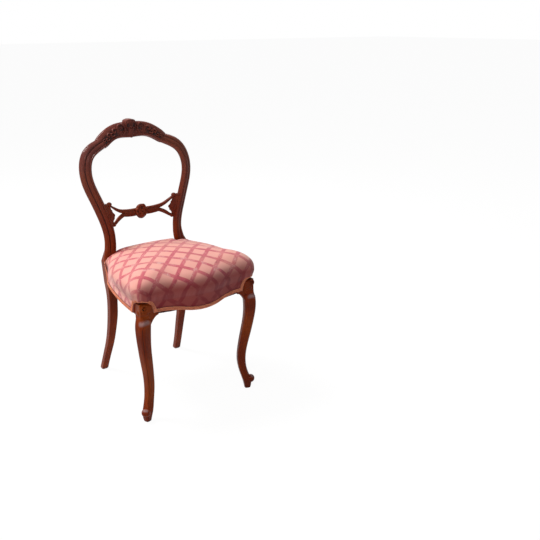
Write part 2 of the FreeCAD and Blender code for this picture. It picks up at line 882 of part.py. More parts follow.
def gimp_pieces():
    """Braid along the cover's cut edge: one length round the front and sides, one across the back."""
    base = rail_bottom - 30.0
    shell = stuffed_shape(-gimp_thickness, -gimp_thickness, base).cut(stuffed_shape(0.0, 0.0, base - 1.0))
    reach = gimp_width
    band = open_zone(cover_edge_gap + reach, cut_out_gap + reach, cut_out_gap + reach)
    band = band.cut(open_zone(cover_edge_gap, cut_out_gap, cut_out_gap))
    band = band.common(box(Vector(-400, -400, base), Vector(400, 400, gimp_top_z)))
    solids = shell.common(band).Solids
    front = min(solids, key=lambda solid: solid.BoundBox.YMin)
    back = max(solids, key=lambda solid: solid.BoundBox.YMin)
    return front, back


def inside_frame(front_inset, rail_inset, low, high):
    """Level slab inside the seat frame, its edges set in from the rails' outer faces."""
    half = leg_inner_x() - leg_clearance
    start_y = leg_back_y() + leg_clearance
    end_y = block_front_y - leg_clearance
    back_x = block_inner_x - leg_clearance
    front_end = Vector(half, front_y(half) + front_inset, low)
    side_start = Vector(side_x(start_y, rail_inset), start_y, low)
    side_middle = Vector(side_x(seat_middle_y, rail_inset), seat_middle_y, low)
    side_end = Vector(side_x(end_y, rail_inset), end_y, low)
    back_end = Vector(back_x, back_y(back_x, rail_inset), low)

    def left(points):
        return [Vector(-point.x, point.y, point.z) for point in reversed(points)]

    def lines(points):
        return [Part.LineSegment(a, b).toShape() for a, b in zip(points, points[1:])]

    front_corner = [front_end, Vector(half, start_y, low), side_start]
    side = [side_start, side_middle, side_end]
    back_corner = [side_end, Vector(back_x, end_y, low), back_end]
    back = [back_end, Vector(0, seat_back_y - rail_inset, low), left([back_end])[0]]
    edges = front_edges(front_inset, half, low)
    edges += lines(front_corner) + [Part.Arc(*side).toShape()] + lines(back_corner)
    edges.append(Part.Arc(*back).toShape())
    edges += lines(left(back_corner)) + [Part.Arc(*left(side)).toShape()] + lines(left(front_corner))
    return Part.Face(Part.Wire(edges)).extrude(Vector(0, 0, high - low))


def strap_centres():
    reach = strap_pitch * (straps_each_way - 1) / 2
    return spaced(-reach, reach, straps_each_way)


def strap_bed():
    """Where straps may lie on the rails' undersides."""
    margin = 2 * strap_thickness
    front_inset = rail_thickness - front_landing
    rail_inset = rail_thickness - strap_landing
    return inside_frame(front_inset, rail_inset, rail_bottom - 2 * margin, rail_bottom + margin)


def long_strap(x):
    """Strap from the front rail to the back rail."""
    half = strap_width / 2
    low = Vector(x - half, seat_front_y, rail_bottom - strap_thickness)
    high = Vector(x + half, seat_back_y, rail_bottom)
    return box(low, high).common(strap_bed())


def cross_strap(y, first_over):
    """Strap from side to side, woven over and under the long straps."""
    over = rail_bottom + strap_thickness / 2
    under = rail_bottom - 1.5 * strap_thickness
    level = rail_bottom - strap_thickness / 2
    half = strap_width / 2
    centres = strap_centres()
    slope = 12.0
    middle = [(-seat_half_width_front, level), (centres[0] - half - slope, level)]
    for index, x in enumerate(centres):
        height = over if (index % 2 == 0) == first_over else under
        middle += [(x - half, height), (x + half, height)]
    middle += [(centres[-1] + half + slope, level), (seat_half_width_front, level)]
    thick = strap_thickness / 2
    upper = [Vector(x, y - half, z + thick) for x, z in middle]
    lower = [Vector(x, y - half, z - thick) for x, z in reversed(middle)]
    ribbon = Part.Face(polyline_wire(upper + lower)).extrude(Vector(0, strap_width, 0))
    return ribbon.common(strap_bed())


def strap_tack_places():
    """Middle of each tack, where it enters a rail's underside."""
    reach = tack_spacing * (tacks_per_end - 1) / 2
    inset = rail_thickness - strap_landing / 2
    front_inset = rail_thickness - front_landing / 2
    places = []
    for centre in strap_centres():
        for step in spaced(-reach, reach, tacks_per_end):
            x = centre + step
            y = strap_field_y + centre + step
            places.append((x, front_y(x) + front_inset))
            places.append((x, back_y(x, inset)))
            places.append((side_x(y, inset), y))
            places.append((-side_x(y, inset), y))
    return places


def tack(x, y):
    seat = Vector(x, y, rail_bottom - strap_thickness)
    head = rod(seat, Vector(0, 0, -1), tack_head_depth, tack_head_radius)
    return head.fuse(rod(seat, Vector(0, 0, 1), tack_length, tack_radius))


def tack_hole(x, y):
    start = Vector(x, y, rail_bottom - 3 * strap_thickness)
    length = 2 * strap_thickness + tack_length + hole_end_gap
    return rod(start, Vector(0, 0, 1), length, tack_radius + joint_gap)


def arc_from(start, tangent, end):
    """Circular arc that leaves its start along a tangent."""
    chord = end - start
    direction = Vector(chord)
    direction.normalize()
    halfway = tangent + direction
    halfway.normalize()
    middle = start + halfway * (chord.Length / (2 * halfway.dot(direction)))
    return Part.Arc(start, middle, end).toShape()


def two_arcs(start, start_tangent, end, end_tangent):
    """Pair of arcs that join two points and keep both tangents."""
    across = end - start
    tangents = start_tangent + end_tangent
    bend = 2 * (1 - start_tangent.dot(end_tangent))
    reach = across.dot(tangents)
    distance = (-reach + math.sqrt(reach * reach + bend * across.dot(across))) / bend
    joint = (start + end + (start_tangent - end_tangent) * distance) * 0.5
    joint_tangent = (end - end_tangent * distance) - (start + start_tangent * distance)
    joint_tangent.normalize()
    return [arc_from(start, start_tangent, joint), arc_from(joint, joint_tangent, end)]


def spring():
    """Hourglass coil with a level coil at each end, standing on x = y = 0."""
    quarters = 4 * spring_turns
    level_quarters = 3
    bottom = rail_bottom + strap_thickness + spring_wire / 2
    rise = crown_z - spring_drop - bottom

    def place(index):
        angle = index * math.pi / 2
        share = 2 * index / quarters - 1
        radius = spring_waist_radius + (spring_end_radius - spring_waist_radius) * share * share
        climb = (index - level_quarters) / (quarters - 2 * level_quarters)
        climb = min(max(climb, 0.0), 1.0)
        climb = climb * climb * (3 - 2 * climb)
        return Vector(radius * math.cos(angle), radius * math.sin(angle), bottom + rise * climb)

    def tangent(index):
        step = 0.05
        direction = place(index + step) - place(index - step)
        direction.normalize()
        return direction

    edges = []
    for index in range(quarters):
        edges += two_arcs(place(index), tangent(index), place(index + 1), tangent(index + 1))
    start = place(0)
    ring = Part.Wire([Part.Circle(start, tangent(0), spring_wire / 2).toShape()])
    return Part.Wire(edges).makePipeShell([ring], True, False)


def twine_run(points):
    """Twine along straight stretches, rounded at each bend."""
    cord = None
    for start, end in zip(points, points[1:]):
        across = end - start
        piece = rod(start, across, across.Length, twine_radius)
        piece = piece.fuse(Part.makeSphere(twine_radius, start)).fuse(Part.makeSphere(twine_radius, end))
        cord = piece if cord is None else cord.fuse(piece)
    return cord


def spring_twine():
    """Twines laid over the springs both ways, knotted where they cross, and down to the rails."""
    top = crown_z - spring_drop + spring_wire / 2 + twine_radius
    rail = rail_top + twine_radius
    inset = twine_end_inset
    outer = strap_pitch + spring_end_radius + spring_wire
    net = None
    for side in (1, -1):
        x = side * strap_pitch
        y = strap_field_y + side * strap_pitch
        runs = [
            [
                Vector(x, front_y(x) + inset, rail),
                Vector(x, front_y(x) + inset + twine_end_length, rail),
                Vector(x, strap_field_y - outer, top),
                Vector(x, strap_field_y + outer, top),
                Vector(x, back_y(x, inset + twine_end_length), rail),
                Vector(x, back_y(x, inset), rail),
            ],
            [
                Vector(-side_x(y, inset), y, rail),
                Vector(-side_x(y, inset + twine_end_length), y, rail),
                Vector(-outer, y, top),
                Vector(outer, y, top),
                Vector(side_x(y, inset + twine_end_length), y, rail),
                Vector(side_x(y, inset), y, rail),
            ],
        ]
        for points in runs:
            cord = twine_run(points)
            net = cord if net is None else net.fuse(cord)
    return net


def bottom_cloth():
    """Dust cloth under the webbing, turned up into a hem that meets the rails."""
    top = rail_bottom - 2 * strap_thickness
    front_inset = apron_thickness + 0.6
    sheet = inside_frame(front_inset, hem_inset, top - bottom_cloth_thickness, top)
    outer = inside_frame(front_inset, hem_inset, top, rail_bottom)
    inner = inside_frame(front_inset + front_hem_width, hem_inset + hem_width, top - 1.0, rail_bottom + 1.0)
    return sheet.fuse(outer.cut(inner))


# Fastenings


def dowel_places():
    """Each family of dowels as (middle, direction) pairs on the right-hand side."""
    middle_z = (rail_top + rail_bottom) / 2
    up = Vector(0, 0, rail_dowel_spacing / 2)
    front = Vector(leg_inner_x(), front_y(leg_inner_x()) + rail_thickness / 2, middle_z)
    side_front = Vector(side_x(leg_back_y(), rail_thickness / 2), leg_back_y(), middle_z)
    side_back = Vector(side_x(block_front_y, rail_thickness / 2), block_front_y, middle_z)
    back = Vector(block_inner_x, back_y(block_inner_x, rail_thickness / 2), middle_z)
    along_x = Vector(1, 0, 0)
    along_y = Vector(0, 1, 0)
    crest_middle = Vector(joint_x, joint_y, joint_z)
    crest_across = path_axes(joint_normal(), shoulder_turn)[0] * (crest_dowel_spacing / 2)
    crest_places = [crest_middle + crest_across, crest_middle - crest_across]
    return {
        "front_rail_dowels": [(front + up, along_x), (front - up, along_x)],
        "side_rail_dowels": [
            (side_front + up, along_y),
            (side_front - up, along_y),
            (side_back + up, along_y),
            (side_back - up, along_y),
        ],
        "back_rail_dowels": [(back + up, along_x), (back - up, along_x)],
        "crest_dowels": [(place, joint_normal()) for place in crest_places],
        "mid_rail_dowels": [(mid_dowel_middle(z), along_x) for z in (upper_arm_z, lower_arm_z)],
    }


def dowel_size(name):
    """Radius and length of a family of dowels."""
    if name == "crest_dowels":
        return crest_dowel_radius, crest_dowel_length
    if name == "mid_rail_dowels":
        return mid_dowel_radius, mid_dowel_length
    return rail_dowel_radius, rail_dowel_length


def mid_dowel_middle(z):
    """Where an arm of the middle rail meets the stile."""
    x = stile_x(z) - 0.42 * stile_width
    lean = math.tan(math.radians(mid_rail_lean)) * (z - mid_rail_z)
    return Vector(x, mid_rail_y(x) + lean, z)


def centred_rod(middle, direction, length, radius):
    return rod(middle - direction * (length / 2), direction, length, radius)


def dowels(name):
    radius, length = dowel_size(name)
    pieces = [centred_rod(middle, direction, length, radius) for middle, direction in dowel_places()[name]]
    return pieces + [mirrored(piece) for piece in pieces]


def dowel_holes(name):
    radius, length = dowel_size(name)
    places = dowel_places()[name]
    depth = length + 2 * hole_end_gap
    return [centred_rod(middle, direction, depth, radius + joint_gap) for middle, direction in places]


def corner_block_shape(corners):
    low = rail_top - corner_below_top - corner_height
    return prism([Vector(x, y, low) for x, y in corners], corner_height)


def front_corner_block(rails):
    """Block glued behind the front leg, fitted round it and against both rails."""
    rail_middle = front_y(leg_inner_x()) + rail_thickness / 2 - 2.0
    side_middle = side_x(leg_back_y(), rail_thickness / 2)
    shape = corner_block_shape([
        (side_middle - corner_reach - rail_thickness, rail_middle),
        (side_middle, rail_middle),
        (side_middle, leg_back_y() + corner_reach),
    ])
    return trimmed(shape, rails)


def back_corner_block(rails):
    """Block glued in front of the back leg, against the side and back rails."""
    side_middle = side_x(block_front_y - corner_reach / 2, rail_thickness / 2)
    rail_middle = back_y(block_inner_x, rail_thickness / 2)
    shape = corner_block_shape([
        (block_inner_x - corner_reach * 0.8, rail_middle),
        (block_inner_x + 6.0, rail_middle),
        (side_middle, block_front_y + 2.0),
        (side_middle, block_front_y - corner_reach * 0.8),
    ])
    return trimmed(shape, rails)


def trimmed(shape, others):
    """Largest solid left when a block is cut to fit against its neighbours."""
    for other in others:
        shape = shape.cut(other)
    return max(shape.Solids, key=lambda solid: solid.Volume)


def screw_places():
    """Seat of each screw's head in the right-hand corner blocks, with the way that it is driven."""
    z = rail_top - corner_below_top - corner_height / 2
    front_x = leg_inner_x() - 0.38 * corner_reach
    side_front_y = leg_back_y() + 0.52 * corner_reach
    side_back_y = block_front_y - 0.53 * corner_reach
    back_x = block_inner_x - 0.35 * corner_reach
    inset = rail_thickness + screw_seat
    return [
        (Vector(front_x, front_y(front_x) + inset, z), Vector(0, -1, 0)),
        (Vector(side_x(side_front_y, inset), side_front_y, z), Vector(1, 0, 0)),
        (Vector(side_x(side_back_y, inset), side_back_y, z), Vector(1, 0, 0)),
        (Vector(back_x, back_y(back_x, inset), z), Vector(0, 1, 0)),
    ]


def screw(seat, direction):
    head = rod(seat, direction * -1, screw_head_depth, screw_head_radius)
    return head.fuse(rod(seat, direction, screw_length, screw_radius))


def screw_hole(seat, direction):
    """Hole for the shank, and a wider one that lets the head in from the open side of the block."""
    shank = rod(seat, direction, screw_length + hole_end_gap, screw_radius + joint_gap)
    return shank.fuse(rod(seat, direction * -1, corner_reach, screw_head_radius + joint_gap))


def pin_places():
    """Where each gimp pin's head rests on the braid, with the way that it points inward."""
    reach = cloth_gap + cover_thickness + gimp_thickness
    rise = cover_edge_gap + gimp_width / 2
    places = []
    front_half = leg_inner_x() - 2 * gimp_width
    for x in spaced(-front_half, front_half, 1 + int(2 * front_half / pin_spacing)):
        slope = front_y(x + 0.5) - front_y(x - 0.5)
        inward = Vector(-slope, 1, 0)
        inward.normalize()
        places.append((Vector(x, front_y(x) - reach, apron_z(x) + rise), inward))
    low = leg_back_y() + 1.5 * gimp_width
    high = block_front_y - 1.5 * gimp_width
    circle = side_circle(-reach)
    for y in spaced(low, high, 1 + int((high - low) / pin_spacing)):
        place = Vector(side_x(y, -reach), y, rail_bottom + rise)
        inward = Vector(circle.Center.x - place.x, circle.Center.y - place.y, 0)
        inward.normalize()
        places.append((place, inward))
        places.append((Vector(-place.x, place.y, place.z), Vector(-inward.x, inward.y, 0)))
    back_half = block_inner_x - 1.5 * gimp_width
    circle = back_circle(-reach)
    for x in spaced(-back_half, back_half, 1 + int(2 * back_half / pin_spacing)):
        place = Vector(x, back_y(x, -reach), rail_bottom + rise)
        inward = Vector(circle.Center.x - place.x, circle.Center.y - place.y, 0)
        inward.normalize()
        places.append((place, inward))
    return places


def pin(seat, inward):
    head = rod(seat, inward * -1, pin_head_depth, pin_head_radius)
    return head.fuse(rod(seat, inward, pin_length, pin_radius))


def pin_hole(seat, inward):
    lead = 1.0
    return rod(seat - inward * lead, inward, lead + pin_length + hole_end_gap, pin_radius + joint_gap)


def drilled(shape, holes):
    """Shape with every hole that reaches it cut out."""
    near = [hole for hole in holes if hole.BoundBox.intersect(shape.BoundBox)]
    if not near:
        return shape
    return shape.cut(Part.makeCompound(near))


def wooden_parts():
    """Legs, rails and blocks before they are drilled."""
    front_leg_right = front_leg()
    back_leg_right = back_leg()
    front = front_rail()
    side = side_rail()
    back = back_rail()
    right = {
        "front_leg": front_leg_right,
        "back_leg": back_leg_right,
        "side_rail": side,
        "corner_block_front": front_corner_block([front, side, front_leg_right]),
        "corner_block_back": back_corner_block([back, side, back_leg_right]),
    }
    middle = {
        "front_rail": front,
        "back_rail": back,
        "crest_rail": crest_rail(),
        "mid_rail": mid_rail(back_leg_right),
    }
    return right, middle


def build():
    right, middle = wooden_parts()
    right_holes = []
    parts = {}
    for name in dowel_places():
        parts[name] = Part.makeCompound(dowels(name))
        right_holes += dowel_holes(name)
    seats = screw_places()
    screws = [screw(seat, direction) for seat, direction in seats]
    parts["corner_block_screws"] = Part.makeCompound(screws + [mirrored(piece) for piece in screws])
    right_holes += [screw_hole(seat, direction) for seat, direction in seats]
    tack_places = strap_tack_places()
    tack_holes = [tack_hole(x, y) for x, y in tack_places]
    parts["webbing_tacks"] = Part.makeCompound([tack(x, y) for x, y in tack_places])
    pins = pin_places()
    pin_holes = [pin_hole(seat, inward) for seat, inward in pins]
    parts["gimp_pins"] = Part.makeCompound([pin(seat, inward) for seat, inward in pins])
    surface_holes = tack_holes + pin_holes
    for name, shape in right.items():
        shape = drilled(shape, right_holes + surface_holes)
        parts[name + "_right"] = shape
        parts[name + "_left"] = mirrored(shape)
    all_holes = right_holes + [mirrored(hole) for hole in right_holes] + surface_holes
    for name, shape in middle.items():
        parts[name] = drilled(shape, all_holes)
    for index, x in enumerate(strap_centres()):
        parts["webbing_long_" + str(index + 1)] = drilled(long_strap(x), tack_holes)
        cross = cross_strap(strap_field_y + x, index % 2 == 0)
        parts["webbing_cross_" + str(index + 1)] = drilled(cross, tack_holes)
    coil = spring()
    for end, y in (("front", strap_field_y - strap_pitch), ("back", strap_field_y + strap_pitch)):
        for side, x in (("right", strap_pitch), ("left", -strap_pitch)):
            parts["spring_" + end + "_" + side] = coil.translated(Vector(x, y, 0))
    parts["spring_twine"] = spring_twine()
    parts["bottom_cloth"] = bottom_cloth()
    wadding_outer = (cover_thickness, cover_thickness)
    hair_outer = (wadding_outer[0] + wadding_side, wadding_outer[1] + wadding_top)
    canvas_outer = (hair_outer[0] + hair_side, hair_outer[1] + hair_top)
    canvas_inner = (canvas_outer[0] + canvas_thickness, canvas_outer[1] + canvas_thickness)
    parts["seat_cover"] = drilled(seat_layer((0.0, 0.0), wadding_outer, rail_bottom - 30.0), pin_holes)
    parts["wadding"] = seat_layer(wadding_outer, hair_outer, rail_top)
    parts["hair_stuffing"] = seat_layer(hair_outer, canvas_outer, rail_top)
    parts["spring_canvas"] = seat_layer(canvas_outer, canvas_inner, rail_top)
    gimp_front, gimp_back = gimp_pieces()
    parts["gimp_front"] = drilled(gimp_front, pin_holes)
    parts["gimp_back"] = drilled(gimp_back, pin_holes)
    return parts


def export(parts):
    os.makedirs("parts", exist_ok=True)
    for name, shape in parts.items():
        shape = shape.translated(Vector(0, centring_y, 0))
        shape.exportStep("parts/" + name + ".step")
        print(name, shape.isValid(), len(shape.Solids), round(shape.Volume / 1000.0, 2))


export(build())
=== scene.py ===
import bpy
import math
import numpy as np
from mathutils import Matrix, Vector


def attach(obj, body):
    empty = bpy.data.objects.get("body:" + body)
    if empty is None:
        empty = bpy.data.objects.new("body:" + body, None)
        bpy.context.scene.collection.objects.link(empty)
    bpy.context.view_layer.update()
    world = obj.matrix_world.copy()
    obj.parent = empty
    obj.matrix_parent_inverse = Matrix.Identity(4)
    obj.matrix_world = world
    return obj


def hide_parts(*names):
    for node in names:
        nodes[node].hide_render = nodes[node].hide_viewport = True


# Balloon back chair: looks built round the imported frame. Shapes are in millimetres as
# measured, and land in metres with the chair's depth centred on y = 0.
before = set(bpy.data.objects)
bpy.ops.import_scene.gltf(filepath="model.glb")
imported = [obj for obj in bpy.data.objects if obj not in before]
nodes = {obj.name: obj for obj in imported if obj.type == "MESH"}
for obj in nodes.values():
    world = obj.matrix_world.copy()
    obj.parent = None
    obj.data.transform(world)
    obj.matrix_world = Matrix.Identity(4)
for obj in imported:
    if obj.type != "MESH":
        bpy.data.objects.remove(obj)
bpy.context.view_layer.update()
depthShift = 26.75


# Curves and grids


def spline(knots, values, at):
    # Natural cubic through the values at the knots, worked out for the whole array at once.
    knots, values, at = (np.asarray(a, float) for a in (knots, values, at))
    gap = np.diff(knots)
    count = len(knots)
    slope = (np.diff(values, axis=0).T / gap).T
    system = np.eye(count)
    right = np.zeros_like(values)
    for k in range(1, count - 1):
        system[k, k - 1:k + 2] = gap[k - 1], 2 * (gap[k - 1] + gap[k]), gap[k]
        right[k] = 6 * (slope[k] - slope[k - 1])
    bend = np.linalg.solve(system, right)
    k = np.clip(np.searchsorted(knots, at) - 1, 0, count - 2)
    shape = (-1,) + (1,) * (values.ndim - 1)
    t = (at - knots[k]).reshape(shape)
    g = gap[k].reshape(shape)
    first = slope[k] - g * (2 * bend[k] + bend[k + 1]) / 6
    return values[k] + t * first + t ** 2 * bend[k] / 2 + t ** 3 * (bend[k + 1] - bend[k]) / (6 * g)


def lengths(points):
    # Distance run along a line of points.
    steps = np.linalg.norm(np.diff(points, axis=0), axis=1)
    return np.concatenate([[0], np.cumsum(steps)])


def evenly(points, count):
    # The same line, smoothed and cut into equal steps.
    run = lengths(points)
    fine = spline(run, points, np.linspace(0, run[-1], 8 * count))
    run = lengths(fine)
    at = np.linspace(0, run[-1], count)
    return np.stack([np.interp(at, run, fine[:, k]) for k in range(3)], 1)


def unit(vectors):
    return vectors / np.maximum(np.linalg.norm(vectors, axis=-1, keepdims=True), 1e-9)


def smoothStep(low, high, x):
    # 0 before low, 1 after high, and three squares less two cubes between.
    t = np.clip((x - low) / (high - low), 0, 1)
    return t * t * (3 - 2 * t)


def bump(x, middle, half):
    # Round-topped ridge that is 1 at its middle and 0 from half a width away.
    t = np.clip(1 - ((x - middle) / half) ** 2, 0, 1)
    return t * t


def stacked(*values):
    # Arrays spread to one shape and joined as coordinates.
    return np.stack(np.broadcast_arrays(*values), -1)


def outlines(width, depth, corners, arc, flats):
    # Four-sided outline with elliptical corners, one a station, starting at the outer front corner:
    # a corner's arc runs sin and cos of a quarter turn, then straight points lead to the next corner.
    signs = ((1, -1), (1, 1), (-1, 1), (-1, -1))
    turn = np.linspace(0, math.pi / 2, arc)
    arcs = []
    for k, (sx, sy) in enumerate(signs):
        reachX, reachY = corners[:, k, 0:1], corners[:, k, 1:2]
        angle = turn if k % 2 == 0 else turn[::-1]
        x = sx * (width[:, None] / 2 - reachX + reachX * np.sin(angle))
        y = sy * (depth[:, None] / 2 - reachY + reachY * np.cos(angle))
        arcs.append(np.stack([x, y], -1))
    pieces = []
    for k in range(4):
        start, end = arcs[k][:, -1:], arcs[(k + 1) % 4][:, :1]
        share = (np.arange(1, flats[k] + 1) / (flats[k] + 1))[None, :, None]
        pieces += [arcs[k], start + (end - start) * share]
    return np.concatenate(pieces, 1)


def outward(flat):
    # Unit normals of closed outlines that run counter-clockwise.
    along = np.roll(flat, -1, 1) - np.roll(flat, 1, 1)
    return unit(np.stack([along[..., 1], -along[..., 0]], -1))


def pathAxes(tangents, turns):
    # Across and back directions square to a path, the outer edge turned back by an angle.
    along = unit(tangents)
    back = unit(np.array([0, 1, 0]) - along * along[:, 1:2])
    across = np.cross(back, along)
    c, s = np.cos(np.radians(turns))[:, None], np.sin(np.radians(turns))[:, None]
    return across * c + back * s, back * c - across * s


def place(centres, axes, flat):
    # Flat outlines put square to a path, one at each of its points.
    across, back = axes
    return centres[:, None] + across[:, None] * flat[..., :1] + back[:, None] * flat[..., 1:]


def gridPart(points, uv, wrap=False, caps=False, relief=None):
    # Quads over a grid of points; a wrapped grid closes on itself, and caps are fans to a middle point.
    rows, cols = points.shape[:2]
    r, c = np.meshgrid(np.arange(rows - 1), np.arange(cols - (not wrap)), indexing="ij")
    nextC = (c + 1) % cols
    quads = np.stack([r * cols + c, r * cols + nextC, (r + 1) * cols + nextC, (r + 1) * cols + c], -1)
    corners = np.stack([uv[r, c], uv[r, c + 1], uv[r + 1, c + 1], uv[r + 1, c]], -2)
    part = {"points": points.reshape(-1, 3), "quads": quads.reshape(-1, 4), "quadUv": corners.reshape(-1, 4, 2)}
    part["relief"] = np.zeros(rows * cols) if relief is None else relief.reshape(-1)
    part["tris"], part["triUv"] = np.zeros((0, 3), int), np.zeros((0, 3, 2))
    if caps:
        ring = np.arange(cols)
        after = (ring + 1) % cols
        middle = np.stack([points[0].mean(0), points[-1].mean(0)])
        part["points"] = np.concatenate([part["points"], middle])
        part["relief"] = np.concatenate([part["relief"], [part["relief"][0], part["relief"][-1]]])
        first = np.stack([after, ring, np.full(cols, rows * cols)], 1)
        last = np.stack([ring, after, np.full(cols, rows * cols + 1)], 1)
        last[:, :2] += (rows - 1) * cols
        part["tris"] = np.concatenate([first, last])
        part["triUv"] = np.concatenate([uv[0][first[:, [0, 1, 1]]], uv[-1][last[:, [0, 1, 1]] % cols]])
    return part


def outsideOut(part):
    # A closed part whose signed volume is negative has its faces turned round.
    p = part["points"]
    q, t = part["quads"], part["tris"]
    triangles = np.concatenate([q[:, [0, 1, 2]], q[:, [0, 2, 3]], t])
    a, b, c = (p[triangles[:, k]] for k in range(3))
    if np.einsum("ij,ij->", a, np.cross(b, c)) < 0:
        part["quads"], part["quadUv"] = q[:, ::-1], part["quadUv"][:, ::-1]
        part["tris"], part["triUv"] = t[:, ::-1], part["triUv"][:, ::-1]
    return part


def mirrored(part):
    # The same part on the other side, its faces turned round to keep pointing out.
    other = dict(part)
    other["points"] = part["points"] * [-1, 1, 1]
    other["quads"], other["quadUv"] = part["quads"][:, ::-1], part["quadUv"][:, ::-1]
    other["tris"], other["triUv"] = part["tris"][:, ::-1], part["triUv"][:, ::-1]
    return other


def meshPiece(name, parts, material, stands=(), sharp=60, solid=True):
    # Joins parts into one object, in metres, with its UV map and its level of painted light and fading.
    if solid:
        parts = [outsideOut(part) for part in parts]
    start, verts, faces, uvs, relief = 0, [], [], [], []
    for part in parts:
        verts.append(part["points"])
        relief.append(part["relief"])
        faces += (part["quads"] + start).tolist() + (part["tris"] + start).tolist()
        uvs += [part["quadUv"].reshape(-1, 2), part["triUv"].reshape(-1, 2)]
        start += len(part["points"])
    points = (np.concatenate(verts) + [0, depthShift, 0]) / 1000
    mesh = bpy.data.meshes.new(name)
    mesh.from_pydata(points, [], faces)
    mesh.uv_layers.new(name="weave").data.foreach_set("uv", (np.concatenate(uvs) / 1000).ravel())
    # The level: on the wood, painted shade below zero and a painted highlight well above it; on the seat, the share
    # of unfaded cloth and painted shade.
    mesh.attributes.new("carving", "FLOAT", "POINT").data.foreach_set("value", np.concatenate(relief))
    mesh.polygons.foreach_set("use_smooth", np.ones(len(faces), bool))
    mesh.set_sharp_from_angle(angle=math.radians(sharp))
    mesh.materials.append(material)
    mesh.update()
    piece = bpy.data.objects.new(name, mesh)
    bpy.context.scene.collection.objects.link(piece)
    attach(piece, "root")
    if stands:
        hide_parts(*stands)
    print("made", name, len(faces))
    return piece


def closedTube(points, relief=None):
    # Rings joined into a closed skin, unrolled by the distance round it and along it.
    middle = points[len(points) // 2]
    along = lengths(points.mean(1))
    ring = np.concatenate([middle, middle[:1]])
    uv = stacked(lengths(ring)[None, :], along[:, None])
    return gridPart(points, uv, wrap=True, caps=True, relief=relief)


def tube(line, radius, sides):
    # Round cord along a line, its radius one number or one at each point.
    tangents = np.gradient(line, axis=0)
    across, back = pathAxes(tangents, np.zeros(len(line)))
    turn = np.linspace(0, 2 * math.pi, sides, endpoint=False)[None, :, None]
    size = np.broadcast_to(radius, len(line))[:, None, None]
    return closedTube(line[:, None] + size * (across[:, None] * np.cos(turn) + back[:, None] * np.sin(turn)))


def blob(centre, size, turn=0.0):
    # Rounded pebble: a sphere stretched by three sizes, turned in the front view.
    polar = np.linspace(0.02, math.pi - 0.02, 14)[:, None]
    around = np.linspace(0, 2 * math.pi, 20, endpoint=False)[None, :]
    ball = stacked(np.sin(polar) * np.cos(around), np.cos(polar), np.sin(polar) * np.sin(around))
    ball = ball * np.asarray(size)
    c, s = math.cos(turn), math.sin(turn)
    x, y, z = ball[..., 0], ball[..., 1], ball[..., 2]
    return closedTube(np.stack([x * c - z * s, y, x * s + z * c], -1) + np.asarray(centre))


# Materials


class Wire:
    # A shader socket that can be used in sums and products.
    def __init__(self, tree, socket):
        self.tree, self.socket = tree, socket

    def maths(self, operation, *others):
        return node(self.tree, "ShaderNodeMath", {"operation": operation}, (self,) + others)

    def flipped(self, operation, other):
        return node(self.tree, "ShaderNodeMath", {"operation": operation}, (other, self))

    def __add__(self, other):
        return self.maths("ADD", other)

    def __sub__(self, other):
        return self.maths("SUBTRACT", other)

    def __mul__(self, other):
        return self.maths("MULTIPLY", other)

    def __truediv__(self, other):
        return self.maths("DIVIDE", other)

    def __rsub__(self, other):
        return self.flipped("SUBTRACT", other)

    def __rtruediv__(self, other):
        return self.flipped("DIVIDE", other)

    __radd__, __rmul__ = __add__, __mul__


def node(tree, kind, settings=None, inputs=(), output=0):
    # One shader node: its settings first, then a value or a link for each socket.
    made = tree.nodes.new(kind)
    for key, value in (settings or {}).items():
        if key == "stops":
            ramp = made.color_ramp.elements
            while len(ramp) < len(value):
                ramp.new(0.5)
            for stop, (at, colour) in zip(ramp, value):
                stop.position, stop.color = at, (*colour, 1)
        else:
            setattr(made, key, value)
    pairs = inputs.items() if isinstance(inputs, dict) else enumerate(inputs)
    for key, value in pairs:
        if isinstance(value, Wire):
            tree.links.new(value.socket, made.inputs[key])
        else:
            made.inputs[key].default_value = value
    return Wire(tree, made.outputs[output]) if made.outputs else None


def linear(red, green, blue):
    # A colour read off a screen, as the shader's linear values.
    rgb = np.array([red, green, blue]) / 255
    return tuple(np.where(rgb < 0.04045, rgb / 12.92, ((rgb + 0.055) / 1.055) ** 2.4).tolist())


def newMaterial(name):
    material = bpy.data.materials.new(name)
    material.use_nodes = True
    material.node_tree.nodes.clear()
    return material, material.node_tree


def mix(tree, share, first, second, blend="MIX"):
    def colour(value):
        return value if isinstance(value, Wire) else (*value, 1)
    settings = {"data_type": "RGBA", "blend_type": blend, "clamp_factor": True}
    return node(tree, "ShaderNodeMix", settings, {0: share, 6: colour(first), 7: colour(second)}, output=2)


def noise(tree, where, scale, detail=3.0, stretch=(1, 1, 1)):
    spread = node(tree, "ShaderNodeMapping", None, {0: where, 3: stretch})
    return node(tree, "ShaderNodeTexNoise", None, {"Vector": spread, "Scale": scale, "Detail": detail})


def ranged(tree, value, low, high, start, end):
    # A value moved from the range low to high onto start to end, and held beyond it.
    return node(tree, "ShaderNodeMapRange", None, {0: value, 1: low, 2: high, 3: start, 4: end})


def surface(tree, **values):
    # The one shader of a material: an underscore in a name stands for a space.
    names = {key.replace("_", " "): value for key, value in values.items()}
    fixed = {k: ((*v, 1) if isinstance(v, tuple) else v) for k, v in names.items()}
    shader = node(tree, "ShaderNodeBsdfPrincipled", None, fixed)
    node(tree, "ShaderNodeOutputMaterial", None, {0: shader})


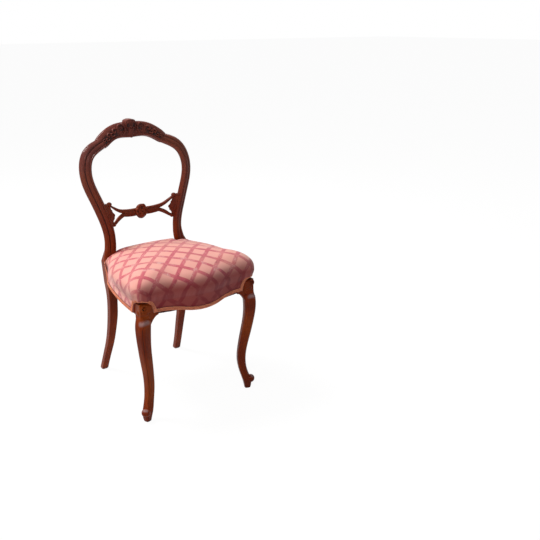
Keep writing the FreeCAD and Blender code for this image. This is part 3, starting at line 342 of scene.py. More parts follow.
def makeWood(name, look):
    # Streaked grain and broad patches, painted shade in carved hollows and a painted highlight on knees and toes,
    # pale nicks, a grey-purple tint that grows with height (partly dulled polish, partly painted sheen), and a thin
    # clear coat.
    material, tree = newMaterial(name)
    spot = node(tree, "ShaderNodeTexCoord", output=3)
    uv = node(tree, "ShaderNodeUVMap", {"uv_map": "weave"})
    streaks = noise(tree, uv if look["followsPiece"] else spot, 1.0, 5.0, look["grain"])
    patches = noise(tree, spot, 9.0, 2.0)
    tone = streaks * 0.42 + patches * 0.58
    colour = node(tree, "ShaderNodeValToRGB", {"stops": look["stops"]}, (tone,))
    if look["carved"]:
        height = node(tree, "ShaderNodeAttribute", {"attribute_name": "carving"}, output=2)
        # Painted shade: below zero the level darkens the wood to near black in grooves and hollows.
        hollowShade = ranged(tree, height, -1.6, 0.2, 1.0, 0.0)
        colour = mix(tree, hollowShade, colour, look["hollowShade"])
        # Painted highlight: a high level lightens the wood to a pale grey-pink on the knee and toe tops.
        paintedHighlight = ranged(tree, height, 2.6, 9.0, 0.0, 0.6)
        colour = mix(tree, paintedHighlight, colour, look["paintedHighlight"])
    nicks = noise(tree, spot, 170.0, 2.0)
    nick = ranged(tree, nicks, 0.8, 0.83, 0.0, 1.0)
    colour = mix(tree, nick * 0.5, colour, look["nick"])
    # Partly dulled polish and partly painted sheen: a grey-purple tint towards the top, standing in for light
    # reflected from above.
    high = node(tree, "ShaderNodeSeparateXYZ", None, (spot,), output=2)
    dull = ranged(tree, high, 0.47, 0.72, 0.0, look["dullingAndSheenShare"])
    colour = mix(tree, dull, colour, look["dull"])
    rough = 0.2 + 0.16 * patches
    fine = node(tree, "ShaderNodeBump", None, {"Strength": 0.05, "Distance": 0.0004, "Height": streaks})
    surface(tree, Base_Color=colour, Roughness=rough + look["rougher"], Coat_Weight=look["coat"],
            Coat_Roughness=0.12, Specular_IOR_Level=0.06, Normal=fine)
    return material


woodLook = {"grain": (520, 26, 1), "followsPiece": True, "carved": True, "coat": 0.05, "rougher": 0.0,
            "stops": ((0.3, linear(96, 27, 5)), (0.5, linear(128, 45, 8)), (0.68, linear(152, 68, 16))),
            "hollowShade": linear(22, 7, 8), "nick": linear(178, 118, 84),
            "dull": linear(104, 74, 74), "dullingAndSheenShare": 0.42, "paintedHighlight": linear(168, 148, 150)}
mahogany = makeWood("polishedMahogany", woodLook)
railLook = dict(woodLook, followsPiece=False, carved=False, grain=(420, 60, 420))
railMahogany = makeWood("railMahogany", railLook)
beechLook = {"grain": (30, 30, 200), "followsPiece": False, "carved": False, "coat": 0.0, "rougher": 0.4,
             "stops": ((0.3, linear(168, 132, 92)), (0.5, linear(188, 152, 110)), (0.7, linear(204, 172, 130))),
             "hollowShade": (0, 0, 0), "nick": linear(200, 170, 130), "dull": (0.5, 0.4, 0.3), "dullingAndSheenShare": 0.0}
beech = makeWood("bareBeech", beechLook)


def makePlain(name, colour, rough, metallic=0.0, fine=200.0):
    # One colour with darker clouds.
    material, tree = newMaterial(name)
    spot = node(tree, "ShaderNodeTexCoord", output=3)
    grain = noise(tree, spot, fine)
    shade = mix(tree, grain * 0.5, colour, tuple(c * 0.55 for c in colour))
    surface(tree, Base_Color=shade, Roughness=rough, Metallic=metallic)
    return material


def makeWoven(name, colour, dark, size):
    # Plain weave: sine of x times sine of y, with half a sine of z, in the object's own coordinates.
    material, tree = newMaterial(name)
    spot = node(tree, "ShaderNodeTexCoord", output=3)
    axes = [node(tree, "ShaderNodeSeparateXYZ", None, (spot,), output=k) for k in range(3)]
    waves = [(axis * (2 * math.pi / size)).maths("SINE") for axis in axes]
    weave = (waves[0] * waves[1] + waves[2] * 0.5) * 0.35 + 0.5
    shade = mix(tree, weave, dark, colour)
    height = node(tree, "ShaderNodeBump", None, {"Strength": 0.4, "Distance": 0.0006, "Height": weave})
    surface(tree, Base_Color=shade, Roughness=0.9, Normal=height)
    return material


jute = makeWoven("juteWebbing", linear(176, 148, 108), linear(112, 86, 56), 0.003)
hessian = makeWoven("hessian", linear(186, 160, 118), linear(128, 100, 66), 0.0024)
dustCloth = makeWoven("dustCloth", linear(96, 24, 22), linear(62, 12, 14), 0.0016)
hemp = makePlain("hempTwine", linear(190, 165, 120), 0.9, fine=900.0)
springSteel = makePlain("springSteel", linear(120, 116, 112), 0.42, 1.0, 120.0)
pinEnamel = makePlain("pinEnamel", linear(150, 74, 62), 0.35)
horsehair = makePlain("horsehair", linear(58, 44, 36), 0.85, fine=700.0)
cotton = makePlain("cottonWadding", linear(226, 220, 206), 0.95, fine=300.0)


def makeDamask(name, look):
    # Trellis: diagonal bands where the distance along u + v or u - v falls near a whole period.
    # Ribs are a fine sine across v, and worn specks are noise inside the bands.
    material, tree = newMaterial(name)
    uv = node(tree, "ShaderNodeUVMap", {"uv_map": "weave"})
    u = node(tree, "ShaderNodeSeparateXYZ", None, (uv,), output=0)
    v = node(tree, "ShaderNodeSeparateXYZ", None, (uv,), output=1)
    drift = noise(tree, uv, 22.0, 2.0) * 0.008 - 0.004
    fray = noise(tree, uv, 900.0, 2.0) * 0.0022 - 0.0011
    root = math.sqrt(0.5)
    bands = []
    for along, shift in ((u + v, look["shifts"][0]), (u - v, look["shifts"][1])):
        phase = (along * root + drift * 0.3 + fray + shift) / look["period"]
        away = (phase.maths("FRACT") - 0.5).maths("ABSOLUTE") * look["period"]
        edge = ranged(tree, away, look["band"] / 2 - 0.0012, look["band"] / 2 + 0.0012, 1.0, 0.0)
        bands.append(edge)
    band = bands[0].maths("MAXIMUM", bands[1])
    ribs = (v * (2 * math.pi / look["rib"])).maths("SINE") * 0.5 + 0.5
    threads = noise(tree, uv, 1.0, 3.0, (2600, 300, 1))
    ground = mix(tree, ribs * 0.35 + threads * 0.4, look["ground"], look["groundDark"])
    stripe = mix(tree, threads * 0.7, look["stripe"], look["stripeDark"])
    colour = mix(tree, band, ground, stripe)
    age = noise(tree, uv, 11.0, 3.0)
    faded = ranged(tree, age, 0.4, 0.75, 0.0, 0.4)
    colour = mix(tree, faded, colour, look["faded"])
    specks = noise(tree, uv, 340.0, 3.0, (1, 1.6, 1))
    where = noise(tree, uv, 34.0, 2.0)
    worn = ranged(tree, specks * 0.5 + where * 0.5, 0.56, 0.59, 0.0, 1.0)
    pale = worn * (band * 0.8 + 0.1)
    colour = mix(tree, pale * 0.75, colour, look["thread"])
    holes = ranged(tree, specks * 0.55 + where * 0.45, 0.41, 0.395, 0.0, 1.0)
    colour = mix(tree, holes * band * 0.5, colour, look["worn"])
    # Partly unfaded cloth and partly painted shade: the front and left faces are multiplied darker by the mesh's
    # share.
    unfadedAndShade = node(tree, "ShaderNodeAttribute", {"attribute_name": "carving"}, output=2)
    colour = mix(tree, unfadedAndShade, colour, look["unfadedAndShade"], "MULTIPLY")
    height = ribs * 0.4 + threads * 0.3 + band * 0.5
    woven = node(tree, "ShaderNodeBump", None, {"Strength": 0.35, "Distance": 0.0008, "Height": height})
    surface(tree, Base_Color=colour, Roughness=0.78, Sheen_Weight=0.25, Sheen_Roughness=0.5,
            Specular_IOR_Level=0.25, Normal=woven)
    return material


damaskLook = {"period": 0.047, "band": 0.0125, "shifts": (0.02, 0.0), "rib": 0.0022,
              "ground": linear(248, 182, 170), "groundDark": linear(228, 148, 138),
              "stripe": linear(216, 104, 118), "stripeDark": linear(188, 76, 92),
              "faded": linear(244, 182, 162), "thread": linear(238, 196, 186), "worn": linear(96, 30, 40),
              "unfadedAndShade": (0.34, 0.13, 0.14)}
damask = makeDamask("trellisDamask", damaskLook)


def makeBraid(name, pale, dark):
    # Long threads and soft patches between a pale and a dark tone.
    material, tree = newMaterial(name)
    uv = node(tree, "ShaderNodeUVMap", {"uv_map": "weave"})
    threads = noise(tree, uv, 1.0, 3.0, (1400, 500, 1))
    patches = noise(tree, uv, 60.0, 2.0)
    shade = mix(tree, threads * 0.6 + patches * 0.4, dark, pale)
    fine = node(tree, "ShaderNodeBump", None, {"Strength": 0.4, "Distance": 0.0005, "Height": threads})
    surface(tree, Base_Color=shade, Roughness=0.8, Sheen_Weight=0.2, Normal=fine)
    return material


braidCord = makeBraid("braidCord", linear(250, 166, 124), linear(200, 98, 70))
# The ground's dark tones are partly the cloth under the braid and partly painted shade in the gaps between the
# cords.
braidGroundAndGapShade = makeBraid("braidGroundAndGapShade", linear(96, 26, 26), linear(60, 14, 18))

quarters = [end + "_" + side for end in ("front", "back") for side in ("right", "left")]
finishes = (
    (beech, ["corner_block_" + quarter for quarter in quarters]),
    (beech, [joint + "_dowels" for joint in ("front_rail", "side_rail", "back_rail", "crest", "mid_rail")]),
    (springSteel, ["corner_block_screws", "webbing_tacks"] + ["spring_" + quarter for quarter in quarters]),
    (railMahogany, ["front_rail", "side_rail_right", "side_rail_left", "back_rail"]),
    (jute, ["webbing_%s_%d" % (way, k) for way in ("long", "cross") for k in range(1, 5)]),
    (pinEnamel, ["gimp_pins"]), (hemp, ["spring_twine"]), (hessian, ["spring_canvas"]),
    (horsehair, ["hair_stuffing"]), (cotton, ["wadding"]))
for material, names in finishes:
    for name in names:
        nodes[name].data.materials.clear()
        nodes[name].data.materials.append(material)
print("materials ready")


# Front legs

frontLeg = {
    "stations": ((186.5, -209, 0, 19), (186.5, -209, 13, 24), (183.5, -208.5, 33, 28), (177, -204, 56, 27),
                 (169.6, -199.5, 105, 27.5), (172.2, -203.75, 152.5, 29.2), (179.2, -211, 200, 32.2),
                 (186.5, -218.5, 250, 34.25), (190, -223, 300, 38), (188.5, -222, 331, 38), (186, -220, 346, 35.5)),
    "turn": 18.0, "tongueTop": 347.0, "tongueProud": 1.2}


def makeFrontLeg():
    # Rounded square carried up the cabriole line, its front face raised into an arched tongue at the knee, with
    # painted light on it.
    stations = np.array(frontLeg["stations"], float)
    z = np.concatenate([np.linspace(0, 60, 26)[:-1], np.linspace(60, 270, 60)[:-1], np.linspace(270, 356, 62)])
    knots = np.append(stations[:, 2], 357.0)
    values = np.vstack([stations[:, [0, 1, 3]], [183.0, -217.0, 35.0]])
    x, y, width = spline(knots, values, z).T
    rounding = np.interp(z, (0, 331, 346, 357), (0.3, 0.3, 0.3, 0.1)) * width
    corners = np.repeat(np.repeat(rounding[:, None, None], 4, 1), 2, 2)
    flat = outlines(width, width, corners, 12, (12, 8, 12, 30))
    turn = np.radians(-frontLeg["turn"]) * np.interp(z, (0, 340, 357), (1, 1, 0))
    share = flat[..., 0] / (width[:, None] / 2)
    front = smoothStep(0.0, 0.25, -flat[..., 1] / (width[:, None] / 2) - 0.55)
    arch = frontLeg["tongueTop"] - 9 * share ** 2 - 1
    under = smoothStep(0, 2.2, arch - z[:, None]) * smoothStep(0.92, 0.84, np.abs(share))
    fade = smoothStep(175, 300, z)[:, None]
    swell = np.exp(-((arch - z[:, None]) / 17) ** 2) * (arch > z[:, None]) * 1.6
    lift = front * under * fade * (frontLeg["tongueProud"] + swell)
    edge = bump(share, 0.87, 0.05) * front * smoothStep(340, 320, z)[:, None] * smoothStep(40, 70, z)[:, None]
    flat = flat + outward(flat) * (lift - 0.5 * edge)[..., None]
    c, s = np.cos(turn)[:, None], np.sin(turn)[:, None]
    px = x[:, None] + flat[..., 0] * c - flat[..., 1] * s
    py = y[:, None] + flat[..., 0] * s + flat[..., 1] * c
    points = stacked(px, py, z[:, None])
    facing = (flat[..., 0] * 0.6 - flat[..., 1]) / np.linalg.norm(flat, axis=-1)
    # Painted highlight across the knee, and painted shade in the edge grooves and under the tongue's arch.
    shine = np.exp(-((338 - 7 * (share - 0.3) ** 2 - z[:, None]) / 9.0) ** 2) * smoothStep(0.35, 1.0, facing) * 8.5
    shade = shine - 1.5 * edge - 1.2 * front * bump(arch - z[:, None], -1.2, 2.0) * (np.abs(share) < 0.95)
    shaft = closedTube(points, shade)
    parts = [shaft, legBlock()]
    parts += toe() + ear()
    return parts


def legBlock():
    # Square block behind the ear, its corners eased.
    z = np.array([352.0, 357, 362, 372, 382, 390, 391.6, 392])
    width = np.array([35.5, 37, 37, 37, 37, 37, 36.4, 35])
    corners = np.full((len(z), 4, 2), 3.0)
    flat = outlines(width, width, corners, 6, (4, 4, 4, 8))
    points = stacked(182 + flat[..., 0], -216 + flat[..., 1], z[:, None])
    return closedTube(points)


def spiral(centre, start, radii, turns, count):
    # Flat spiral in the front view: the radius shrinks evenly as the angle runs on.
    share = np.linspace(0, 1, count)
    angle = start + share * turns * 2 * math.pi
    radius = radii[0] + (radii[1] - radii[0]) * share
    x, z = centre[0] + radius * np.cos(angle), centre[2] + radius * np.sin(angle)
    return stacked(x, centre[1], z)


def ear():
    # Scroll on the block's face: a rolled rim that winds into an eye, and a round lobe beside it.
    face = -234.5
    line = spiral((188.5, face - 3.0, 380.0), 2.5, (11.0, 2.6), -1.35, 70)
    rim = tube(line, np.linspace(3.2, 1.5, 70), 12)
    eye = blob((188.5, face - 4.6, 380.0), (3.0, 3.0, 3.0))
    lobe = roundDisc((174.5, face + 2.0, 377.0), 14.0, 7.0, 0.0)
    shoulder = blob((183.0, -217.0, 362.0), (20.5, 20.0, 17.0))
    # The hollow disc's level paints it dark all over as shade.
    hollowShade = roundDisc((188.5, face + 1.5, 380.0), 10.5, 3.5, -2.0)
    outer = roundDisc((199.0, -216.0, 379.0), 12.0, 1.2, 0.0, "x")
    return [rim, eye, lobe, shoulder, hollowShade, outer, bracket()]


def bracket():
    # Concave corner piece between leg and apron: its lower edge falls as a power of the way to the leg.
    share = np.linspace(0, 1, 24)
    x = 140 + 29 * share
    low = 350.5 - 31.0 * share ** 1.9
    top = np.full(24, 357.0)
    lines = ((-231.5, top), (-222.0, top), (-222.0, low), (-231.5, low))
    return closedTube(np.stack([stacked(x, y, z) for y, z in lines], 1))


def roundDisc(centre, radius, proud, relief, way="-y"):
    # Turned button on a face: its rim is a quarter ellipse, and its middle is nearly flat.
    angle = np.linspace(0, math.pi / 2, 14)
    reach = np.concatenate([[radius * 0.96], radius * (0.62 + 0.38 * np.cos(angle)), [radius * 0.3, 0.4]])
    rise = np.concatenate([[-6.0], proud * np.sin(angle), [proud, proud * 0.98]])
    turn = np.linspace(0, 2 * math.pi, 48, endpoint=False)
    a, b = reach[:, None] * np.cos(turn), reach[:, None] * np.sin(turn)
    height = np.broadcast_to(rise[:, None], a.shape)
    axes = (a, -height, b) if way == "-y" else (height, a, b)
    part = closedTube(np.stack(axes, -1) + np.asarray(centre))
    # A level below zero paints the whole disc as shade.
    part["relief"] = part["relief"] + relief
    return part


def toe():
    # Rolled toe lying across the foot, turned outward, with a painted highlight along its top.
    out = np.array([math.sqrt(0.5), -math.sqrt(0.5), 0])
    side = np.array([math.sqrt(0.5), math.sqrt(0.5), 0])
    centre = np.array([185.5, -208, 32.5]) + out * 12.8
    across = np.linspace(-13.6, 13.6, 30)
    radius = 13.3 * np.sqrt(np.clip(1 - (across / 13.9) ** 4, 0, 1)) * (1 - 0.006 * across ** 2 / 4)
    turn = np.linspace(0, 2 * math.pi, 36, endpoint=False)
    ring = out[None, :] * np.cos(turn)[:, None] + np.array([0, 0, 1])[None, :] * np.sin(turn)[:, None]
    points = centre + side[None, None, :] * across[:, None, None] + ring[None] * radius[:, None, None]
    # Painted highlight along the top of the roll.
    top = np.exp(-((turn - 1.0) / 0.5) ** 2)[None, :] * smoothStep(12.5, 7, np.abs(across))[:, None] * 9
    return [closedTube(points, top)]


legParts = makeFrontLeg()
meshPiece("frontLegRight", legParts, mahogany, ("front_leg_right",))
meshPiece("frontLegLeft", [mirrored(p) for p in legParts], mahogany, ("front_leg_left",))


# Back legs and hoop

stileCorners = ((19.0, 10.5), (8.0, 6.0), (13.0, 9.5), (3.0, 3.0))
hoop = {
    "points": ((138, 111, 428), (129.3, 115.25, 458.2), (125, 119.5, 500), (140.8, 122.5, 576.2),
               (161.2, 127.5, 633.9), (180.3, 138.5, 706), (161, 156, 771), (112, 169, 799)),
    "widths": (43, 36.5, 37, 39, 39, 39, 41, 39), "depths": (30, 24, 22, 22, 22, 22, 22, 22),
    "turns": (0, 20, 25, 25, 25, 25, 27.5, 30),
    "joint": (-0.7438, 0.3304, 0.5811), "quirk": 0.5, "bead": -15.6}
backLeg = {
    "stations": ((146, 209.5, 0, 22, 22), (142, 183.5, 60, 22.5, 22), (137, 158.5, 120, 24, 23.5),
                 (135, 138, 180, 26, 25), (134.2, 124, 235, 28, 27), (135.75, 113, 315, 31, 28),
                 (135.75, 111, 351, 38.5, 32))}


def stileLift(flat, width, strength):
    # A quirk cut between the broad round outer face and the flatter inner one, and a bead at the inner edge.
    x = flat[..., 0]
    front = (flat[..., 1] < 0) & (x > -width[:, None] / 2 + 0.4)
    step = 0.9 * smoothStep(hoop["quirk"] - 0.4, hoop["quirk"] + 1.2, x) * smoothStep(15, 8, x)
    groove = 1.5 * bump(x, hoop["quirk"] - 0.5, 1.5)
    inner = 0.9 * bump(x, -7.5, 7.5)
    bead = 1.1 * bump(x, hoop["bead"] - 1.4, 2.0) - 1.0 * bump(x, hoop["bead"] + 1.6, 1.2)
    lift = (step - groove + inner + bead) * front * strength[:, None]
    # The second value is painted shade in the quirk and beside the bead.
    return lift, np.minimum(lift - inner * front * strength[:, None], 0) * 1.3


def makeStile():
    # Side of the hoop: the moulded profile carried along a smooth path, square where it leaves the block.
    points = np.array(hoop["points"], float)
    run = lengths(points)
    at = np.linspace(0, run[-1], 190)
    centres = spline(run, points, at)
    tangents = np.gradient(centres, at, axis=0)
    ends = smoothStep(run[-1] - 45, run[-1], at)[:, None]
    tangents = unit(tangents) * (1 - ends) + np.array(hoop["joint"]) * ends
    low = smoothStep(30, 0, at)[:, None]
    tangents = unit(tangents) * (1 - low) + np.array([0, 0, 1]) * low
    width, depth, turns = (np.interp(at, run, hoop[k]) for k in ("widths", "depths", "turns"))
    block = np.array(((5, 5), (3, 3), (3, 3), (3, 3)), float)
    flare = np.array(((13, 8), (5, 4), (8, 6), (3, 3)), float)
    shape = np.stack([block, flare] + [np.array(stileCorners, float)] * 6)
    corners = np.stack([np.interp(at, run, shape[:, k, j]) for k in range(4) for j in range(2)], -1)
    corners = corners.reshape(-1, 4, 2)
    flat = outlines(width, depth, corners, 14, (3, 10, 3, 52))
    strength = smoothStep(12, 45, at)
    lift, shade = stileLift(flat, width, strength)
    flat = flat + outward(flat) * lift[..., None]
    return closedTube(place(centres, pathAxes(tangents, turns), flat), shade)


def makeBackLegShaft():
    # Sabre leg and square block: rounded squares stacked level on level.
    stations = np.array(backLeg["stations"], float)
    z = np.linspace(0, 351, 80)
    x, y, width, depth = spline(stations[:, 2], stations[:, [0, 1, 3, 4]], z).T
    rounding = np.interp(z, (0, 3, 351), (4.5, 3.0, 3.0))
    width = width - np.interp(z, (0, 2.5), (3.0, 0))
    depth = depth - np.interp(z, (0, 2.5), (3.0, 0))
    top = np.array([351.0, 380, 410, 424, 427.4, 428])
    topWidth = 38.5 + 4.5 * (top - 351) / 77 - np.array([0, 0, 0, 0, 0.2, 1.6])
    z, x = np.append(z, top), np.append(x, 116.5 + topWidth / 2)
    y, width = np.append(y, np.full(6, 111.0)), np.append(width, topWidth)
    depth = np.append(depth, [32, 32, 32, 32, 31.8, 30.4])
    rounding = np.append(rounding, np.full(6, 3.0))
    corners = np.repeat(np.repeat(rounding[:, None, None], 4, 1), 2, 2)
    flat = outlines(width, depth, corners, 6, (5, 5, 5, 5))
    points = stacked(x[:, None] + flat[..., 0], y[:, None] + flat[..., 1], z[:, None])
    return closedTube(points)


stileParts = [makeStile(), makeBackLegShaft()]
meshPiece("backLegRight", stileParts, mahogany, ("back_leg_right",))
meshPiece("backLegLeft", [mirrored(p) for p in stileParts], mahogany, ("back_leg_left",))


# Crest rail

crest = {"quarter": (58.8, 180.33, 830.6), "quarterTangent": (-112, 17, 24.2), "top": (0, 186, 834.5),
         "widths": (42, 46, 47.5, 53), "sprays": 5, "leafProud": 3.4}


def leafLines():
    # Each leaf scroll is a hook: an arc that winds into an eye, laid along the rail and shrinking outward.
    leaves = []
    for k in range(crest["sprays"]):
        share = k / (crest["sprays"] - 1)
        run = 62 + 50 * share
        across = -2.0 - 5.5 * share + 2.0 * (-1) ** k
        size = 8.6 - 3.4 * share
        start = 2.6 if k % 2 == 0 else -2.3
        way = -1 if k % 2 == 0 else 1
        angle = start + way * np.linspace(0, 4.6, 34)
        radius = size * np.linspace(1.15, 0.3, 34)
        leaves.append((run + radius * np.cos(angle), across + radius * np.sin(angle), size))
    return leaves


def crestRelief(run, across):
    # Height of the carving over the rail's face: leaf scrolls with eyes, and a bead along the inner edge.
    side = np.abs(run)
    height = np.zeros(np.broadcast(run, across).shape)
    for lineRun, lineAcross, size in leafLines():
        away = np.full(height.shape, 99.0)
        for k in range(len(lineRun)):
            away = np.minimum(away, np.hypot(side - lineRun[k], across - lineAcross[k]))
        height = np.maximum(height, crest["leafProud"] * np.clip(1 - (away / (0.36 * size)) ** 2, 0, 1) ** 0.6)
        eye = np.hypot(side - lineRun[-1], across - lineAcross[-1])
        height = np.maximum(height, 3.6 * np.sqrt(np.clip(1 - (eye / 2.4) ** 2, 0, 1)))
    zone = smoothStep(122, 112, side) * smoothStep(50, 58, side)
    zone = zone * smoothStep(-17, -13, across) * smoothStep(9, 4, across + 0.07 * (side - 55))
    sunk = -1.5 * zone * (height < 0.5)
    edge = 1.2 * bump(across, -19.0, 2.2) - 1.1 * bump(across, -16.0, 1.3)
    edge = edge * smoothStep(26, 34, side)
    # The second value is painted shade on the sunk ground and in the groove by the bead.
    return height + sunk + edge, sunk + np.minimum(edge, 0) * 1.3


def makeCrest():
    # Half path from the joint to the middle, mirrored into one line, carrying a profile with a dense face.
    knots = np.array([hoop["points"][-1], crest["quarter"], crest["top"]], float)
    run = lengths(knots)
    both = np.vstack([knots, knots[-2::-1] * [-1, 1, 1]])
    bothRun = np.concatenate([run, 2 * run[-1] - run[-2::-1]])
    at = np.linspace(0, bothRun[-1], 360)
    centres = spline(bothRun, both, at)
    start = np.array(hoop["joint"])
    quarter = np.array(crest["quarterTangent"])
    tangents = np.array([start, quarter, (-1, 0, 0), quarter * [1, -1, -1], start * [1, -1, -1]], float)
    tangents = unit(spline(bothRun, unit(tangents), at))
    side = np.minimum(at, bothRun[-1] - at)
    width = np.interp(side, (0, 12, run[1], run[2]), crest["widths"])
    depth = np.interp(side, run, (22, 25, 25))
    turns = np.interp(side, run, (30, 20, 10))
    corners = np.repeat(np.array(stileCorners, float)[None], len(at), 0)
    flat = outlines(width, depth, corners, 26, (3, 10, 3, 74))
    front = (flat[..., 1] < 0) & (flat[..., 0] > -width[:, None] / 2 + 0.3)
    middle = (at - bothRun[-1] / 2)[:, None]
    height, shade = crestRelief(middle, flat[..., 0])
    joint = smoothStep(0, 10, side)[:, None]
    stileEnd = stileLift(flat, width, smoothStep(22, 0, side))
    lift = height * front * joint + stileEnd[0]
    flat = flat + outward(flat) * lift[..., None]
    points = place(centres, pathAxes(tangents, turns), flat)
    rows = len(at)
    firstHalf = points[:rows // 2]
    points = np.concatenate([firstHalf, (firstHalf * [-1, 1, 1])[::-1]])
    shade = shade * front * joint + stileEnd[1]
    shade = np.concatenate([shade[:rows // 2], shade[:rows // 2][::-1]])
    return closedTube(points, shade)


def makeCartouche():
    # Raised shield in the middle: lobed top, pearl, smooth tongue below, and a frame line each side.
    z = np.linspace(809, 869.5, 110)[:, None]
    share = np.linspace(-1, 1, 90)[None, :]
    half = np.interp(z, (809, 814, 822, 838, 856, 861, 865, 867.5, 869.5), (3, 10, 15, 18, 20, 20, 18, 13, 4))
    x = share * half
    front = 186 - 17 + 9.5 * share ** 4 - 3.0 * np.cos(np.clip((z - 838) / 40, -1, 1) * 1.4) + 2.5
    lobes = 2.0 * np.cos(np.clip(x / 7.2, -3, 3) * math.pi) * smoothStep(852, 860, z)
    tongue = 3.2 * np.sqrt(np.clip(1 - (x / (2 + 8.5 * smoothStep(810, 836, z))) ** 2, 0, 1))
    tongue = tongue * smoothStep(842, 838, z) * smoothStep(811, 815, z)
    pearl = 4.6 * np.sqrt(np.clip(1 - (x ** 2 + (z - 845.3) ** 2) / 4.6 ** 2, 0, 1))
    wings = 2.6 * bump(np.hypot(np.abs(x) - 9.5, (z - 850) * 0.8), 7.0, 2.4)
    sunk = -1.6 * bump(np.hypot(np.abs(x) - 9.5, (z - 850) * 0.8), 3.0, 3.0)
    frameLine = 1.6 * bump(np.abs(share), 0.86, 0.1) - 1.6 * bump(np.abs(share), 0.7, 0.08)
    height = np.maximum.reduce([lobes, tongue, pearl, wings]) + sunk + frameLine * smoothStep(866, 858, z)
    y = front - height
    face = stacked(x, y, z)
    back = stacked(x[:, ::-1], np.full_like(y, 196.0) - 4 * (1 - share ** 2), z)
    # Painted shade on the sunk parts of the face.
    shade = np.concatenate([np.minimum(height, 0) * 1.2, np.zeros_like(y)], 1)
    return closedTube(np.concatenate([face, back], 1), shade)


def makeScroll():
    # Oval scroll beside the shield: a winding rim, a hollow painted dark all over as shade, and a curled leaf
    # inside.
    centre = np.array([36.0, 170.5, 838.0])
    angle = np.linspace(-0.6, 2 * math.pi * 1.35, 130)
    shrink = np.concatenate([np.ones(75), np.linspace(1, 0.38, 55)])
    right, up = 14.0 * shrink * np.cos(angle), 17.0 * shrink * np.sin(angle)
    line = centre + np.stack([right, 0.16 * up + 0.1 * right, up], 1)
    rim = tube(line, np.linspace(3.4, 1.8, 130), 12)
    hollowShade = blob(centre + [0, 6.0, 0], (13.5, 6.5, 16.5))
    # Painted shade: the hollow is dark all over.
    hollowShade["relief"] = hollowShade["relief"] - 2.0
    leaves = ((-4, 6, 3.0, 0.5), (3.5, 2, 2.8, -0.5), (-1.0, -6.5, 3.0, 0.8), (5.0, -8.0, 2.4, -0.9))
    return [rim, hollowShade] + [blob(centre + [x, 1.0, z], (size, 3.2, size * 1.5), turn) for x, z, size, turn in leaves]


scrollParts = makeScroll()
crestParts = [makeCrest(), makeCartouche()] + scrollParts + [mirrored(p) for p in scrollParts]
meshPiece("crestRail", crestParts, mahogany, ("crest_rail",))


# Middle rail

midRail = {"z": 571.0, "centreY": 142.0, "endY": 117.0, "half": 125.0, "lean": 5.0,
           "stretch": (((0, 580.5), (24, 580.3), (44, 581), (62, 583)),
                       ((0, 555.5), (24, 554), (44, 555), (60, 557.5))),
           "upper": (((52, 581.8), (68, 584.5), (82, 589), (95, 596.5), (108, 604.5), (121, 612.5), (139, 616.5)),
                     ((56, 569), (67, 570.5), (80, 575.5), (95, 585), (108, 596), (120, 604), (138, 605))),
           "lower": (((56, 573), (67, 571), (78, 567), (90, 560), (102, 550), (112, 546), (126, 545)),
                     ((52, 558.5), (62, 558.5), (74, 554), (85, 548), (96, 541), (107.5, 536), (124, 535)))}


def midRailY(x, z):
    # Bowed back in plan as an arc of a circle, and leaning back with height.
    fall = midRail["centreY"] - midRail["endY"]
    radius = (midRail["half"] ** 2 + fall ** 2) / (2 * fall)
    lean = math.tan(math.radians(midRail["lean"])) * (z - midRail["z"])
    return midRail["centreY"] - radius + np.sqrt(radius ** 2 - x ** 2) + lean


def ribbon(topEdge, bottomEdge, depths, count, groove):
    # Rounded bar between two edge lines drawn in the front view, bent to the rail's curve.
    edges = [evenly(np.array([(x, 0, z) for x, z in edge], float), count) for edge in (topEdge, bottomEdge)]
    middle = (edges[0] + edges[1]) / 2
    span = edges[0] - edges[1]
    height = np.linalg.norm(span, axis=1)
    middle[:, 1] = midRailY(middle[:, 0], middle[:, 2])
    share = np.linspace(0, 1, count)
    depth = np.interp(share, np.linspace(0, 1, len(depths)), depths)
    reach = np.stack([height * 0.4, np.minimum(height, depth) * 0.42], -1)
    flat = outlines(height, depth, np.repeat(reach[:, None], 4, 1), 9, (3, 3, 3, 22))
    spread = flat[..., 0] / (height[:, None] / 2)
    front = flat[..., 1] < 0
    cut = groove * (bump(spread, 0.5, 0.14) + bump(spread, -0.5, 0.14)) * front
    run = middle[:, 0:1]
    dots = 0.5 * np.sin(run * 1.7) * np.sin(spread * 9.0) * front * (np.abs(spread) < 0.4) * smoothStep(62, 50, run)
    flat = flat + outward(flat) * (dots - cut)[..., None]
    across = unit(span)
    back = np.broadcast_to(np.array([0.0, 1.0, 0.0]), across.shape)
    # Painted shade in the two grooves.
    return closedTube(place(middle, (across, back), flat), -1.3 * cut)


